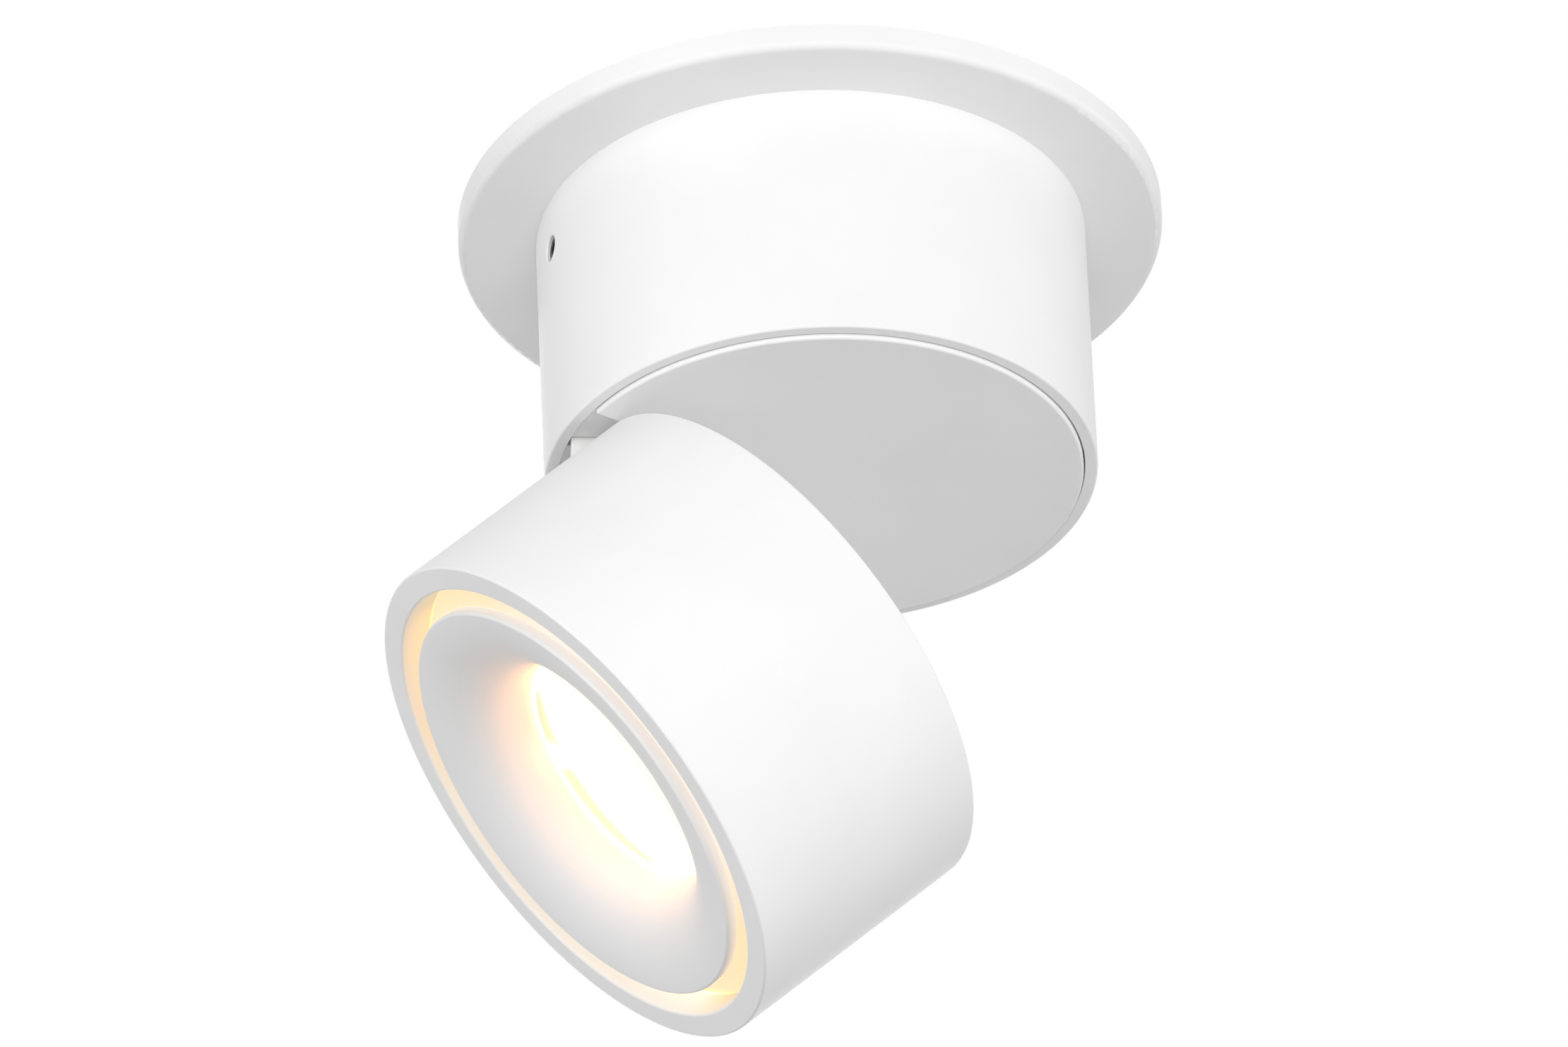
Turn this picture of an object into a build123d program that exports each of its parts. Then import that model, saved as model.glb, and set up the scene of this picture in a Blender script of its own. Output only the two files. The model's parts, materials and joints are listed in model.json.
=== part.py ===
from build123d import *
import os
from math import acos, cos, degrees, radians, sin, sqrt, tan

# Ceiling spot: a ceiling plate, a fixed tube, a swivel disc in the tube's lower end and a lamp head
# of the same diameter that folds out on a hidden hinge. Millimetres, +Z up, origin at the centre of
# the ceiling face, head folded out towards -X.

# Driving dimensions: outer shape
tube_diameter = 85.0
tube_wall = 2.0
plate_diameter = 109.0
plate_thickness = 4.0
plate_edge_radius = 1.2
base_length = 43.0
head_length = 43.5
head_gap = 1.2
rest_tilt = 49.2
soft_edge = 0.4

# Driving dimensions: fits
push_clearance = 0.15
running_clearance = 0.05
thread_clearance = 0.05
swivel_play = 0.1
moving_gap = 0.2

# Driving dimensions: ceiling plate and what hangs on it
spigot_wall = 3.0
spigot_height = 13.0
slot_spacing = 60.0
slot_width = 5.0
slot_length = 10.0
grommet_neck_radius = 8.0
grommet_flange_radius = 10.6
grommet_flange = 1.2
grommet_bore_radius = 4.0
terminal_length = 34.0
terminal_depth = 12.0
terminal_height = 11.0
terminal_offset = 21.0
terminal_pitch = 8.0
terminal_poles = 3
terminal_well_radius = 2.0
terminal_well_depth = 4.5
terminal_wire_radius = 1.4
terminal_wire_drop = 3.0
terminal_fixing_inset = 3.0
earth_position = (25.0, 18.0)

# Driving dimensions: grub screws of the base tube
grub_radius = 2.0
grub_length = 4.0
grub_sunk = 0.6
grub_socket_flats = 2.0
grub_socket_depth = 1.8
grub_drop = 8.2
grub_angles = (193.0, 13.0)

# Driving dimensions: swivel
disc_proud = 0.7
disc_thickness = 4.0
disc_edge_radius = 0.5
disc_tapped_depth = 3.0
ledge_width = 6.5
ledge_thickness = 3.0
bearing_thickness = 2.0
bearing_screw_count = 3
bearing_screw_start = 90.0
bush_wall = 1.9
bush_flange_radius = 10.0
bush_flange = 1.2
bush_proud = 0.3
stem_radius = 5.0
stem_bore_radius = 3.2
stem_flange_radius = 11.5
stem_flange = 1.5
stem_shoulder_radius = 6.5
stem_end = 0.3
stem_window_width = 5.0
stem_window_height = 2.2
stem_screw_circle = 9.2
stem_screw_count = 3
washer_radius = 9.0
stop_washer_thickness = 1.0
stop_tab_width = 2.0
stop_circle = 14.0
stop_tab_end = 15.0
stop_pin_radius = 1.1
spring_washer_wall = 0.6
spring_washer_rise = 0.4
swivel_nut_flats = 14.0
swivel_nut_height = 3.0

# Driving dimensions: hinge
pivot_inset = 6.5
pivot_drop = 8.2
pin_radius = 2.0
pin_head_radius = 3.2
pin_head = 2.0
pin_end = 0.3
hinge_nut_flats = 7.0
hinge_nut_height = 2.2
bracket_thickness = 2.0
bracket_clearance = 0.7
bracket_inner_width = 13.6
bracket_reach = 19.0
ear_radius = 3.5
arm_front = 3.2
arm_back = 3.6
washer_thickness = 0.8
friction_washer_radius = 3.4
block_foot_length = 12.0
block_foot_height = 3.0
block_ear_radius = 3.4
block_rise = 8.0
slot_side_clearance = 1.5
slot_end_clearance = 0.45
notch_clearance = 0.4
notch_back_clearance = 3.4
notch_corner_radius = 2.0
notch_depth = 1.5
notch_taper = 30.0
ear_slot_clearance = 0.3

# Driving dimensions: head
lip_width = 4.1
lip_depth = 6.0
groove_width = 3.9
glow_thickness = 3.0
glow_crest = 1.6
spacer_wall = 2.0
throat_radius = 19.5
throat_land = 4.4
reflector_wall = 1.5
reflector_proud = 0.3
sink_base = 6.0
fin_thickness = 1.5
fin_pitch = 5.0
fin_clearance = 1.3
pillar_radius = 3.5
pillar_circle = 30.0
pillar_count = 3
ring_thickness = 1.2
ring_width = 2.9
ring_groove_depth = 0.9
cover_thickness = 1.6
cover_recess = 0.6
pad_thickness = 0.5
board_thickness = 1.6
board_clearance = 2.3
emitter_side = 19.0
emitter_base = 0.8
emitter_disc_radius = 8.0
emitter_disc = 0.4
lens_radius = 21.0
lens_flange = 1.5
lens_height = 2.4
lens_rise = 6.8
lens_chamfer = 0.2
lens_foot_radius = 10.0
lens_foot_gap = 0.4
holder_wall = 2.7
holder_foot_width = 5.0
holder_foot_height = 1.5
holder_lap = 1.0
glow_led_count = 12
glow_led_side = 2.8
glow_led_height = 0.8
glow_led_inset = 4.5

# Driving dimensions: driver
driver_height = 13.0
driver_width = 28.0
driver_offset = -5.0
driver_gap = 0.9
driver_wall = 1.5
driver_side_clearance = 3.5
driver_ear_radius = 4.0
driver_ear_height = 3.0
driver_ear_gap = 1.0
driver_lead_radius = 2.5
driver_post_height = 1.5
driver_post_radius = 2.0
board_edge_gap = 1.0
transformer_size = 13.0
transformer_height = 6.0
capacitor_radius = 2.8
capacitor_height = 6.5
capacitor_pitch = 7.0
component_spacing = 13.0

# Fastener sizes: shank radius, head radius and head height of pan-head screws
m3_shank = 1.5
m3_head_radius = 2.75
m3_head = 1.8
m25_shank = 1.25
m25_head_radius = 2.0
m25_head = 1.4
cross_width = 0.7
cross_depth = 0.9
cross_span = 1.3
countersink_angle = 90.0
blind_end = 0.3

# Heights of the base, from the ceiling face down
tube_radius = tube_diameter / 2
bore_radius = tube_radius - tube_wall
plate_bottom = -plate_thickness
rim = plate_bottom - base_length
spigot_radius = bore_radius - push_clearance
grub_height = plate_bottom - grub_drop
terminal_bottom = plate_bottom - terminal_height

# Heights of the swivel, from the disc up
disc_radius = bore_radius - moving_gap
disc_bottom = rim - disc_proud
disc_top = disc_bottom + disc_thickness
ledge_bottom = disc_top + bracket_thickness + bracket_clearance
ledge_top = ledge_bottom + ledge_thickness
ledge_radius = bore_radius - ledge_width
bearing_top = ledge_top + bearing_thickness
bearing_screw_circle = bore_radius - ledge_width / 2 - push_clearance
bush_bore_radius = stem_radius + running_clearance
bush_radius = bush_bore_radius + bush_wall
bush_bottom = ledge_top - bush_flange
bush_top = bearing_top + bush_proud
stop_washer_bottom = bush_top + swivel_play
stop_washer_top = stop_washer_bottom + stop_washer_thickness
nut_bottom = stop_washer_top + spring_washer_rise + spring_washer_wall
nut_top = nut_bottom + swivel_nut_height
stem_top = nut_top + stem_end

# Hinge: the pin lies along Y, below the rim and just inside the tube's wall
pivot_x = pivot_inset - tube_radius
pivot_z = rim - pivot_drop
back_rise = pivot_drop - head_gap
disc_rise = pivot_drop - disc_proud
bracket_half = bracket_inner_width / 2 + bracket_thickness
pin_half_length = bracket_half + hinge_nut_height + pin_end
slot_half_width = pin_half_length + slot_side_clearance
hinge_swing_radius = hinge_nut_flats / sqrt(3)
slot_depth = back_rise + hinge_swing_radius + slot_end_clearance
block_half = bracket_inner_width / 2 - washer_thickness - 2 * swivel_play
# The swinging back edge of the head reaches the disc's underside as far out as this half width.
edge_reach = sqrt(disc_rise**2 - back_rise**2)
notch_half_width = sqrt(tube_radius**2 - (tube_radius - pivot_inset + edge_reach) ** 2) + notch_clearance
notch_back = pivot_x + arm_back + notch_back_clearance
notch_edge = -sqrt(disc_radius**2 - notch_half_width**2)
notch_slope = tan(radians(notch_taper))
notch_mouth_half = notch_half_width + (tube_radius + notch_edge) * notch_slope
notch_back_half = notch_half_width - (notch_back - notch_edge) * notch_slope
bracket_front = pivot_x - arm_front
bracket_back = bracket_front + bracket_reach

# Head frame: depths count from the front face towards the back
tilt = radians(rest_tilt)
head_side = Vector(cos(tilt), 0, -sin(tilt))
head_axis = Vector(sin(tilt), 0, cos(tilt))
pivot_depth = head_length - back_rise
front_centre = Vector(pivot_x, 0, pivot_z) - head_side * pivot_x - head_axis * pivot_depth
head_frame = Plane(origin=front_centre, x_dir=head_side, z_dir=head_axis)
head_section = Plane(origin=front_centre, x_dir=head_side, z_dir=(0, -1, 0))
head_line = Axis(front_centre, head_axis)

# Depths of the head's stack
lip_radius = tube_radius - lip_width
reflector_radius = lip_radius - groove_width
inside_radius = bore_radius - push_clearance
glow_back = lip_depth + glow_thickness
sink_back = pivot_depth - block_rise
sink_front = sink_back - sink_base
spacer_height = sink_front - glow_back
cover_front = head_length - cover_recess - cover_thickness
cover_back = head_length - cover_recess
fin_back = cover_front - fin_clearance
pad_front = sink_front - pad_thickness
board_front = pad_front - board_thickness
board_radius = inside_radius - spacer_wall - board_clearance
emitter_front = board_front - emitter_base - emitter_disc
lens_foot = emitter_front - lens_foot_gap
lens_seat = lens_foot - lens_height
lens_back = lens_seat + lens_flange
lens_face = lens_seat - lens_rise
throat_depth = lens_seat - throat_land
holder_front = lens_seat - holder_lap
holder_bore = lens_radius + push_clearance
holder_radius = holder_bore + holder_wall
holder_foot_radius = holder_radius + holder_foot_width
holder_seat_radius = throat_radius
glow_bore = holder_radius
pocket_x = pivot_x + arm_back + slot_side_clearance

# Driver
driver_bottom = stem_top + driver_gap
driver_top = driver_bottom + driver_height
driver_ear_x = bore_radius - driver_ear_radius - driver_side_clearance
driver_length = 2 * (driver_ear_x - driver_ear_radius - driver_ear_gap)
driver_ear_top = driver_bottom + driver_ear_height
driver_board_bottom = driver_bottom + driver_wall + driver_post_height
driver_board_top = driver_board_bottom + board_thickness
driver_board_length = driver_length - 2 * (driver_wall + board_edge_gap)
driver_board_width = driver_width - 2 * (driver_wall + board_edge_gap)
driver_post_x = driver_board_length / 2 - driver_post_radius
driver_post_y = driver_board_width / 2 - driver_post_radius

LOW = (Align.CENTER, Align.CENTER, Align.MIN)
HIGH = (Align.CENTER, Align.CENTER, Align.MAX)


def radial_plane(angle, radius, height):
    """Plane square to a radius of the base, facing outwards."""
    out = Vector(cos(radians(angle)), sin(radians(angle)), 0)
    return Plane(origin=out * radius + Vector(0, 0, height), x_dir=(0, 0, 1), z_dir=out)


def ring(outer, inner):
    """Flat ring in the sketch that is open."""
    Circle(outer)
    Circle(inner, mode=Mode.SUBTRACT)


def cross_recess(head_radius):
    """Cross recess, cut downwards from the plane into a screw's head."""
    span = cross_span * head_radius
    Box(span, cross_width, cross_depth, align=HIGH, mode=Mode.SUBTRACT)
    Box(cross_width, span, cross_depth, align=HIGH, mode=Mode.SUBTRACT)


def pan_screw(shank, length, head_radius, head_height):
    """Pan-head screw with a cross recess: its head stands on the plane, its shank goes below it."""
    Cylinder(shank, length, align=HIGH)
    Cylinder(head_radius, head_height, align=LOW)
    with Locations((0, 0, head_height)):
        cross_recess(head_radius)


def flat_screw(shank, length, head_radius):
    """Countersunk screw with a cross recess: its head's top lies in the plane."""
    cone_height = (head_radius - shank) / tan(radians(countersink_angle / 2))
    Cylinder(shank, length, align=HIGH)
    Cone(shank, head_radius, cone_height, align=HIGH)
    cross_recess(head_radius)


# Ceiling plate: disc with a soft lower edge, screw slots and a counterbored cable hole
with BuildPart() as ceiling_plate:
    with BuildSketch():
        Circle(plate_diameter / 2)
    extrude(amount=-plate_thickness)
    outer_edges = ceiling_plate.edges().filter_by(GeomType.CIRCLE)
    fillet(outer_edges.sort_by(Axis.Z)[0], radius=plate_edge_radius)
    with BuildSketch():
        with GridLocations(slot_spacing, 0, 2, 1):
            SlotOverall(slot_length, slot_width)
    extrude(amount=-plate_thickness, mode=Mode.SUBTRACT)
    CounterBoreHole(
        radius=grommet_neck_radius,
        counter_bore_radius=grommet_flange_radius + push_clearance,
        counter_bore_depth=grommet_flange,
        depth=plate_thickness,
    )
    with Locations((earth_position[0], earth_position[1], plate_bottom)):
        Cylinder(m3_shank + thread_clearance, plate_thickness - 2 * blind_end, align=LOW, mode=Mode.SUBTRACT)
    with Locations((0, terminal_offset, plate_bottom)):
        with GridLocations(terminal_length - 2 * terminal_fixing_inset, 0, 2, 1):
            Cylinder(
                m25_shank + thread_clearance, plate_thickness - 2 * blind_end, align=LOW, mode=Mode.SUBTRACT
            )
ceiling_plate.part.label = "ceiling_plate"

# Spigot ring, welded under the plate, which carries the base tube
with BuildPart() as spigot_ring:
    with BuildSketch(Plane.XY.offset(plate_bottom)):
        ring(spigot_radius, spigot_radius - spigot_wall)
    extrude(amount=-spigot_height)
    for angle in grub_angles:
        with Locations(radial_plane(angle, spigot_radius + push_clearance, grub_height)):
            Hole(grub_radius + push_clearance, depth=spigot_wall + 2 * push_clearance)
spigot_ring.part.label = "spigot_ring"

# Rubber grommet in the cable hole: a flange each side of the plate
with BuildPart() as cable_grommet:
    with BuildSketch():
        Circle(grommet_flange_radius)
    extrude(amount=-grommet_flange)
    with BuildSketch():
        Circle(grommet_neck_radius - push_clearance)
    extrude(amount=-plate_thickness)
    with BuildSketch(Plane.XY.offset(plate_bottom)):
        Circle(grommet_flange_radius)
    extrude(amount=-grommet_flange)
    rims = cable_grommet.edges().filter_by(GeomType.CIRCLE).sort_by(Axis.Z)
    fillet(rims[0], radius=grommet_flange / 2)
    Hole(grommet_bore_radius)
cable_grommet.part.label = "cable_grommet"

# Mains terminal block under the plate: screw wells open downwards, wires go through along Y
with BuildPart() as terminal_block:
    with Locations((0, terminal_offset, plate_bottom)):
        Box(terminal_length, terminal_depth, terminal_height, align=HIGH)
    upright = terminal_block.edges().filter_by(Axis.Z)
    fillet(upright, radius=soft_edge)
    with Locations((0, terminal_offset, terminal_bottom)):
        with GridLocations(terminal_pitch, 0, terminal_poles, 1):
            Cylinder(terminal_well_radius, terminal_well_depth, align=LOW, mode=Mode.SUBTRACT)
        with GridLocations(terminal_length - 2 * terminal_fixing_inset, 0, 2, 1):
            Cylinder(m25_head_radius + push_clearance, m25_head + blind_end, align=LOW, mode=Mode.SUBTRACT)
            Cylinder(m25_shank + push_clearance, terminal_height, align=LOW, mode=Mode.SUBTRACT)
    wire_height = plate_bottom - terminal_wire_drop
    with BuildSketch(Plane.XZ.offset(-terminal_offset + terminal_depth / 2)):
        with Locations((0, wire_height)):
            with GridLocations(terminal_pitch, 0, terminal_poles, 1):
                Circle(terminal_wire_radius)
    extrude(amount=-terminal_depth, mode=Mode.SUBTRACT)
terminal_block.part.label = "terminal_block"

# Clamp screws at the bottom of the terminal wells
with BuildPart() as terminal_screws:
    well_floor = terminal_bottom + terminal_well_depth
    with Locations(Plane(origin=(0, terminal_offset, well_floor), z_dir=(0, 0, -1))):
        with GridLocations(terminal_pitch, 0, terminal_poles, 1):
            clamp_radius = terminal_well_radius - push_clearance
            clamp_height = terminal_well_depth / 2
            Cylinder(clamp_radius, clamp_height, align=LOW)
            with Locations((0, 0, clamp_height)):
                Box(2 * clamp_radius, cross_width, cross_depth, align=HIGH, mode=Mode.SUBTRACT)
terminal_screws.part.label = "terminal_screws"

# Two screws that hold the terminal block on the plate
with BuildPart() as terminal_fixing_screws:
    seat = terminal_bottom + m25_head + blind_end
    with Locations(Plane(origin=(0, terminal_offset, seat), z_dir=(0, 0, -1))):
        with GridLocations(terminal_length - 2 * terminal_fixing_inset, 0, 2, 1):
            fixing_length = plate_bottom - seat + plate_thickness - 3 * blind_end
            pan_screw(m25_shank, fixing_length, m25_head_radius, m25_head)
terminal_fixing_screws.part.label = "terminal_fixing_screws"

# Earth screw under the plate
with BuildPart() as earth_screw:
    earth_point = (earth_position[0], earth_position[1], plate_bottom)
    with Locations(Plane(origin=earth_point, z_dir=(0, 0, -1))):
        pan_screw(m3_shank, plate_thickness - 3 * blind_end, m3_head_radius, m3_head)
earth_screw.part.label = "earth_screw"

# Base tube: open tube with an inner ledge for the bearing plate
with BuildPart() as base_tube:
    with BuildSketch(Plane.XY.offset(plate_bottom)):
        ring(tube_radius, bore_radius)
    extrude(amount=-base_length)
    rim_edges = base_tube.edges().filter_by(GeomType.CIRCLE).group_by(Axis.Z)[0]
    fillet(rim_edges, radius=soft_edge)
    with BuildSketch(Plane.XY.offset(ledge_bottom)):
        ring(bore_radius + tube_wall / 2, ledge_radius)
    extrude(amount=ledge_thickness)
    with Locations((0, 0, ledge_bottom)):
        with PolarLocations(bearing_screw_circle, bearing_screw_count, start_angle=bearing_screw_start):
            Cylinder(m3_shank + thread_clearance, ledge_thickness, align=LOW, mode=Mode.SUBTRACT)
    for angle in grub_angles:
        with Locations(radial_plane(angle, tube_radius, grub_height)):
            Hole(grub_radius + thread_clearance, depth=2 * tube_wall)
base_tube.part.label = "base_tube"

# Hex socket grub screws through the tube's wall into the spigot
with BuildPart() as tube_grub_screws:
    grub_planes = [radial_plane(angle, tube_radius - grub_sunk, grub_height) for angle in grub_angles]
    with Locations(*grub_planes):
        Cylinder(grub_radius, grub_length, align=HIGH)
    with BuildSketch(*grub_planes):
        RegularPolygon(grub_socket_flats / 2, 6, major_radius=False)
    extrude(amount=-grub_socket_depth, mode=Mode.SUBTRACT)
tube_grub_screws.part.label = "tube_grub_screws"

# Bearing plate on the ledge: carries the bush, the stop pin and the driver
with BuildPart() as bearing_plate:
    with BuildSketch(Plane.XY.offset(ledge_top)):
        Circle(inside_radius)
        Circle(bush_radius + push_clearance, mode=Mode.SUBTRACT)
        with PolarLocations(bearing_screw_circle, bearing_screw_count, start_angle=bearing_screw_start):
            Circle(m3_shank + push_clearance, mode=Mode.SUBTRACT)
        with Locations((stop_circle, 0)):
            Circle(stop_pin_radius + thread_clearance, mode=Mode.SUBTRACT)
        with Locations((0, driver_offset)):
            with GridLocations(2 * driver_ear_x, 0, 2, 1):
                Circle(m3_shank + thread_clearance, mode=Mode.SUBTRACT)
    extrude(amount=bearing_thickness)
bearing_plate.part.label = "bearing_plate"

# Screws of the bearing plate, into the ledge
with BuildPart() as bearing_plate_screws:
    with Locations((0, 0, bearing_top)):
        with PolarLocations(bearing_screw_circle, bearing_screw_count, start_angle=bearing_screw_start):
            pan_screw(m3_shank, bearing_thickness + ledge_thickness, m3_head_radius, m3_head)
bearing_plate_screws.part.label = "bearing_plate_screws"

# Flanged plastic bush in the bearing plate
with BuildPart() as swivel_bush:
    with BuildSketch(Plane.XY.offset(bush_bottom)):
        ring(bush_flange_radius, bush_bore_radius)
    extrude(amount=bush_flange)
    with BuildSketch(Plane.XY.offset(ledge_top)):
        ring(bush_radius, bush_bore_radius)
    extrude(amount=bush_top - ledge_top)
swivel_bush.part.label = "swivel_bush"

# Pin that ends the swivel's turn
with BuildPart() as stop_pin:
    with Locations((stop_circle, 0, ledge_top)):
        Cylinder(stop_pin_radius, stop_washer_top - ledge_top + moving_gap, align=LOW)
    fillet(stop_pin.edges().sort_by(Axis.Z)[-1], radius=soft_edge)
stop_pin.part.label = "stop_pin"

# Driver case: open tray with lead holes, board posts and two ears on legs
with BuildPart() as driver_case:
    with Locations((0, driver_offset, driver_bottom)):
        Box(driver_length, driver_width, driver_height - driver_wall, align=LOW)
    fillet(driver_case.edges().filter_by(Axis.Z), radius=driver_wall)
    with Locations((0, driver_offset, driver_bottom + driver_wall)):
        inner_length = driver_length - 2 * driver_wall
        inner_width = driver_width - 2 * driver_wall
        Box(inner_length, inner_width, driver_height, align=LOW, mode=Mode.SUBTRACT)
    with Locations((0, driver_offset, driver_bottom + driver_wall)):
        with GridLocations(2 * driver_post_x, 2 * driver_post_y, 2, 2):
            Cylinder(driver_post_radius, driver_post_height, align=LOW)
    with BuildSketch(Plane.YZ.offset(-driver_length / 2)):
        with Locations((driver_offset, driver_board_top + driver_lead_radius)):
            Circle(driver_lead_radius)
    extrude(amount=driver_length, mode=Mode.SUBTRACT)
    with BuildSketch(Plane.XY.offset(bearing_top)):
        with Locations((0, driver_offset)):
            with GridLocations(2 * driver_ear_x, 0, 2, 1):
                Circle(driver_ear_radius)
    extrude(amount=driver_ear_top - bearing_top)
    with BuildSketch(Plane.XY.offset(driver_bottom)):
        with Locations((0, driver_offset)):
            for side in (-1, 1):
                web_length = driver_ear_x - driver_length / 2
                with Locations((side * (driver_length / 2 + web_length / 2), 0)):
                    Rectangle(web_length, driver_ear_radius)
    extrude(amount=driver_ear_height)
    with Locations((0, driver_offset, bearing_top)):
        with GridLocations(2 * driver_ear_x, 0, 2, 1):
            leg_height = driver_ear_top - bearing_top
            Cylinder(m3_shank + push_clearance, leg_height, align=LOW, mode=Mode.SUBTRACT)
driver_case.part.label = "driver_case"

# Driver lid with a lip inside the tray
with BuildPart() as driver_lid:
    with Locations((0, driver_offset, driver_top)):
        Box(driver_length, driver_width, driver_wall, align=HIGH)
    fillet(driver_lid.edges().filter_by(Axis.Z), radius=driver_wall)
    fillet(driver_lid.faces().sort_by(Axis.Z)[-1].edges(), radius=soft_edge)
    with BuildSketch(Plane.XY.offset(driver_top - driver_wall)):
        with Locations((0, driver_offset)):
            lip_gap = 2 * (driver_wall + push_clearance)
            Rectangle(driver_length - lip_gap, driver_width - lip_gap)
            Rectangle(
                driver_length - lip_gap - 2 * driver_wall,
                driver_width - lip_gap - 2 * driver_wall,
                mode=Mode.SUBTRACT,
            )
    extrude(amount=-driver_wall / 2)
driver_lid.part.label = "driver_lid"

# Driver board on the case's posts
with BuildPart() as driver_board:
    with Locations((0, driver_offset, driver_board_bottom)):
        Box(driver_board_length, driver_board_width, board_thickness, align=LOW)
driver_board.part.label = "driver_board"

# Transformer on the board
with BuildPart() as driver_transformer:
    with Locations((-component_spacing, driver_offset, driver_board_top)):
        Box(transformer_size, transformer_size, transformer_height, align=LOW)
    chamfer(driver_transformer.edges().filter_by(Axis.Z), length=soft_edge)
driver_transformer.part.label = "driver_transformer"

# Capacitors on the board
with BuildPart() as driver_capacitors:
    with Locations((component_spacing, driver_offset, driver_board_top)):
        with GridLocations(0, capacitor_pitch, 1, 2):
            Cylinder(capacitor_radius, capacitor_height, align=LOW)
    fillet(driver_capacitors.edges().group_by(Axis.Z)[-1], radius=soft_edge)
driver_capacitors.part.label = "driver_capacitors"

# Screws through the driver's ears into the bearing plate
with BuildPart() as driver_screws:
    with Locations((0, driver_offset, driver_ear_top)):
        with GridLocations(2 * driver_ear_x, 0, 2, 1):
            pan_screw(m3_shank, driver_ear_top - ledge_top, m3_head_radius, m3_head)
driver_screws.part.label = "driver_screws"

# Swivel disc with a recess that the head's back edge swings through, and slots for the hinge's ears
with BuildPart() as swivel_disc:
    with BuildSketch(Plane.XY.offset(disc_bottom)):
        Circle(disc_radius)
    extrude(amount=disc_thickness)
    fillet(swivel_disc.edges().filter_by(GeomType.CIRCLE).sort_by(Axis.Z)[0], radius=disc_edge_radius)
    with BuildSketch(Plane.XY.offset(disc_bottom)):
        with BuildLine():
            Polyline(
                (-tube_radius, notch_mouth_half),
                (notch_back, notch_back_half),
                (notch_back, -notch_back_half),
                (-tube_radius, -notch_mouth_half),
                close=True,
            )
        make_face()
        fillet(vertices().group_by(Axis.X)[-1], radius=notch_corner_radius)
    extrude(amount=notch_depth, mode=Mode.SUBTRACT)
    with BuildSketch(Plane.XY.offset(disc_bottom)):
        with Locations((pivot_x + arm_back + ear_slot_clearance, 0)):
            with GridLocations(0, 2 * bracket_half - bracket_thickness, 1, 2):
                ear_slot_width = bracket_thickness + 2 * ear_slot_clearance
                Rectangle(tube_radius, ear_slot_width, align=(Align.MAX, Align.CENTER))
    extrude(amount=disc_thickness, mode=Mode.SUBTRACT)
    with Locations((0, 0, disc_top)):
        with PolarLocations(stem_screw_circle, stem_screw_count):
            Cylinder(m25_shank + thread_clearance, disc_tapped_depth, align=HIGH, mode=Mode.SUBTRACT)
    bracket_screw_x = (notch_back + bracket_back) / 2
    bracket_screw_pitch = bracket_inner_width - 2 * m3_head_radius
    with Locations((bracket_screw_x, 0, disc_top)):
        with GridLocations(0, bracket_screw_pitch, 1, 2):
            Cylinder(m3_shank + thread_clearance, disc_tapped_depth, align=HIGH, mode=Mode.SUBTRACT)
swivel_disc.part.label = "swivel_disc"

# Hollow stem on the disc: flange, shoulder, shaft and a side window for the leads
with BuildPart() as swivel_stem:
    shoulder_top = bush_bottom - swivel_play
    flange_top = disc_top + stem_flange
    with BuildSketch(Plane.XZ):
        with BuildLine():
            Polyline(
                (stem_bore_radius, disc_top),
                (stem_flange_radius, disc_top),
                (stem_flange_radius, flange_top),
                (stem_shoulder_radius, flange_top),
                (stem_shoulder_radius, shoulder_top),
                (stem_radius, shoulder_top),
                (stem_radius, stem_top),
                (stem_bore_radius, stem_top),
                close=True,
            )
        make_face()
    revolve(axis=Axis.Z)
    with Locations((0, 0, flange_top)):
        window_align = (Align.MAX, Align.CENTER, Align.MIN)
        Box(stem_flange_radius, stem_window_width, stem_window_height, align=window_align, mode=Mode.SUBTRACT)
    with Locations((0, 0, disc_top)):
        with PolarLocations(stem_screw_circle, stem_screw_count):
            Cylinder(m25_shank + push_clearance, stem_flange, align=LOW, mode=Mode.SUBTRACT)
swivel_stem.part.label = "swivel_stem"

# Screws of the stem's flange, into the disc
with BuildPart() as stem_screws:
    with Locations((0, 0, disc_top + stem_flange)):
        with PolarLocations(stem_screw_circle, stem_screw_count):
            pan_screw(m25_shank, stem_flange + disc_tapped_depth - blind_end, m25_head_radius, m25_head)
stem_screws.part.label = "stem_screws"

# Keyed washer whose tab meets the stop pin at each end of the turn
with BuildPart() as stop_washer:
    with BuildSketch(Plane.XY.offset(stop_washer_bottom)):
        Circle(washer_radius)
        with Locations((-stop_tab_end / 2, 0)):
            Rectangle(stop_tab_end, stop_tab_width)
        Circle(stem_radius + thread_clearance, mode=Mode.SUBTRACT)
    extrude(amount=stop_washer_thickness)
stop_washer.part.label = "stop_washer"

# Conical spring washer that gives the swivel its friction
with BuildPart() as spring_washer:
    with BuildSketch(Plane.XZ):
        spring_bore = stem_radius + thread_clearance
        with BuildLine():
            Polyline(
                (spring_bore, stop_washer_top + spring_washer_rise),
                (washer_radius, stop_washer_top),
                (washer_radius, stop_washer_top + spring_washer_wall),
                (spring_bore, nut_bottom),
                close=True,
            )
        make_face()
    revolve(axis=Axis.Z)
spring_washer.part.label = "spring_washer"

# Thin nut on the stem
with BuildPart() as swivel_nut:
    with BuildSketch(Plane.XY.offset(nut_bottom)):
        RegularPolygon(swivel_nut_flats / 2, 6, major_radius=False)
        Circle(stem_radius + thread_clearance, mode=Mode.SUBTRACT)
    extrude(amount=swivel_nut_height)
swivel_nut.part.label = "swivel_nut"

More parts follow.
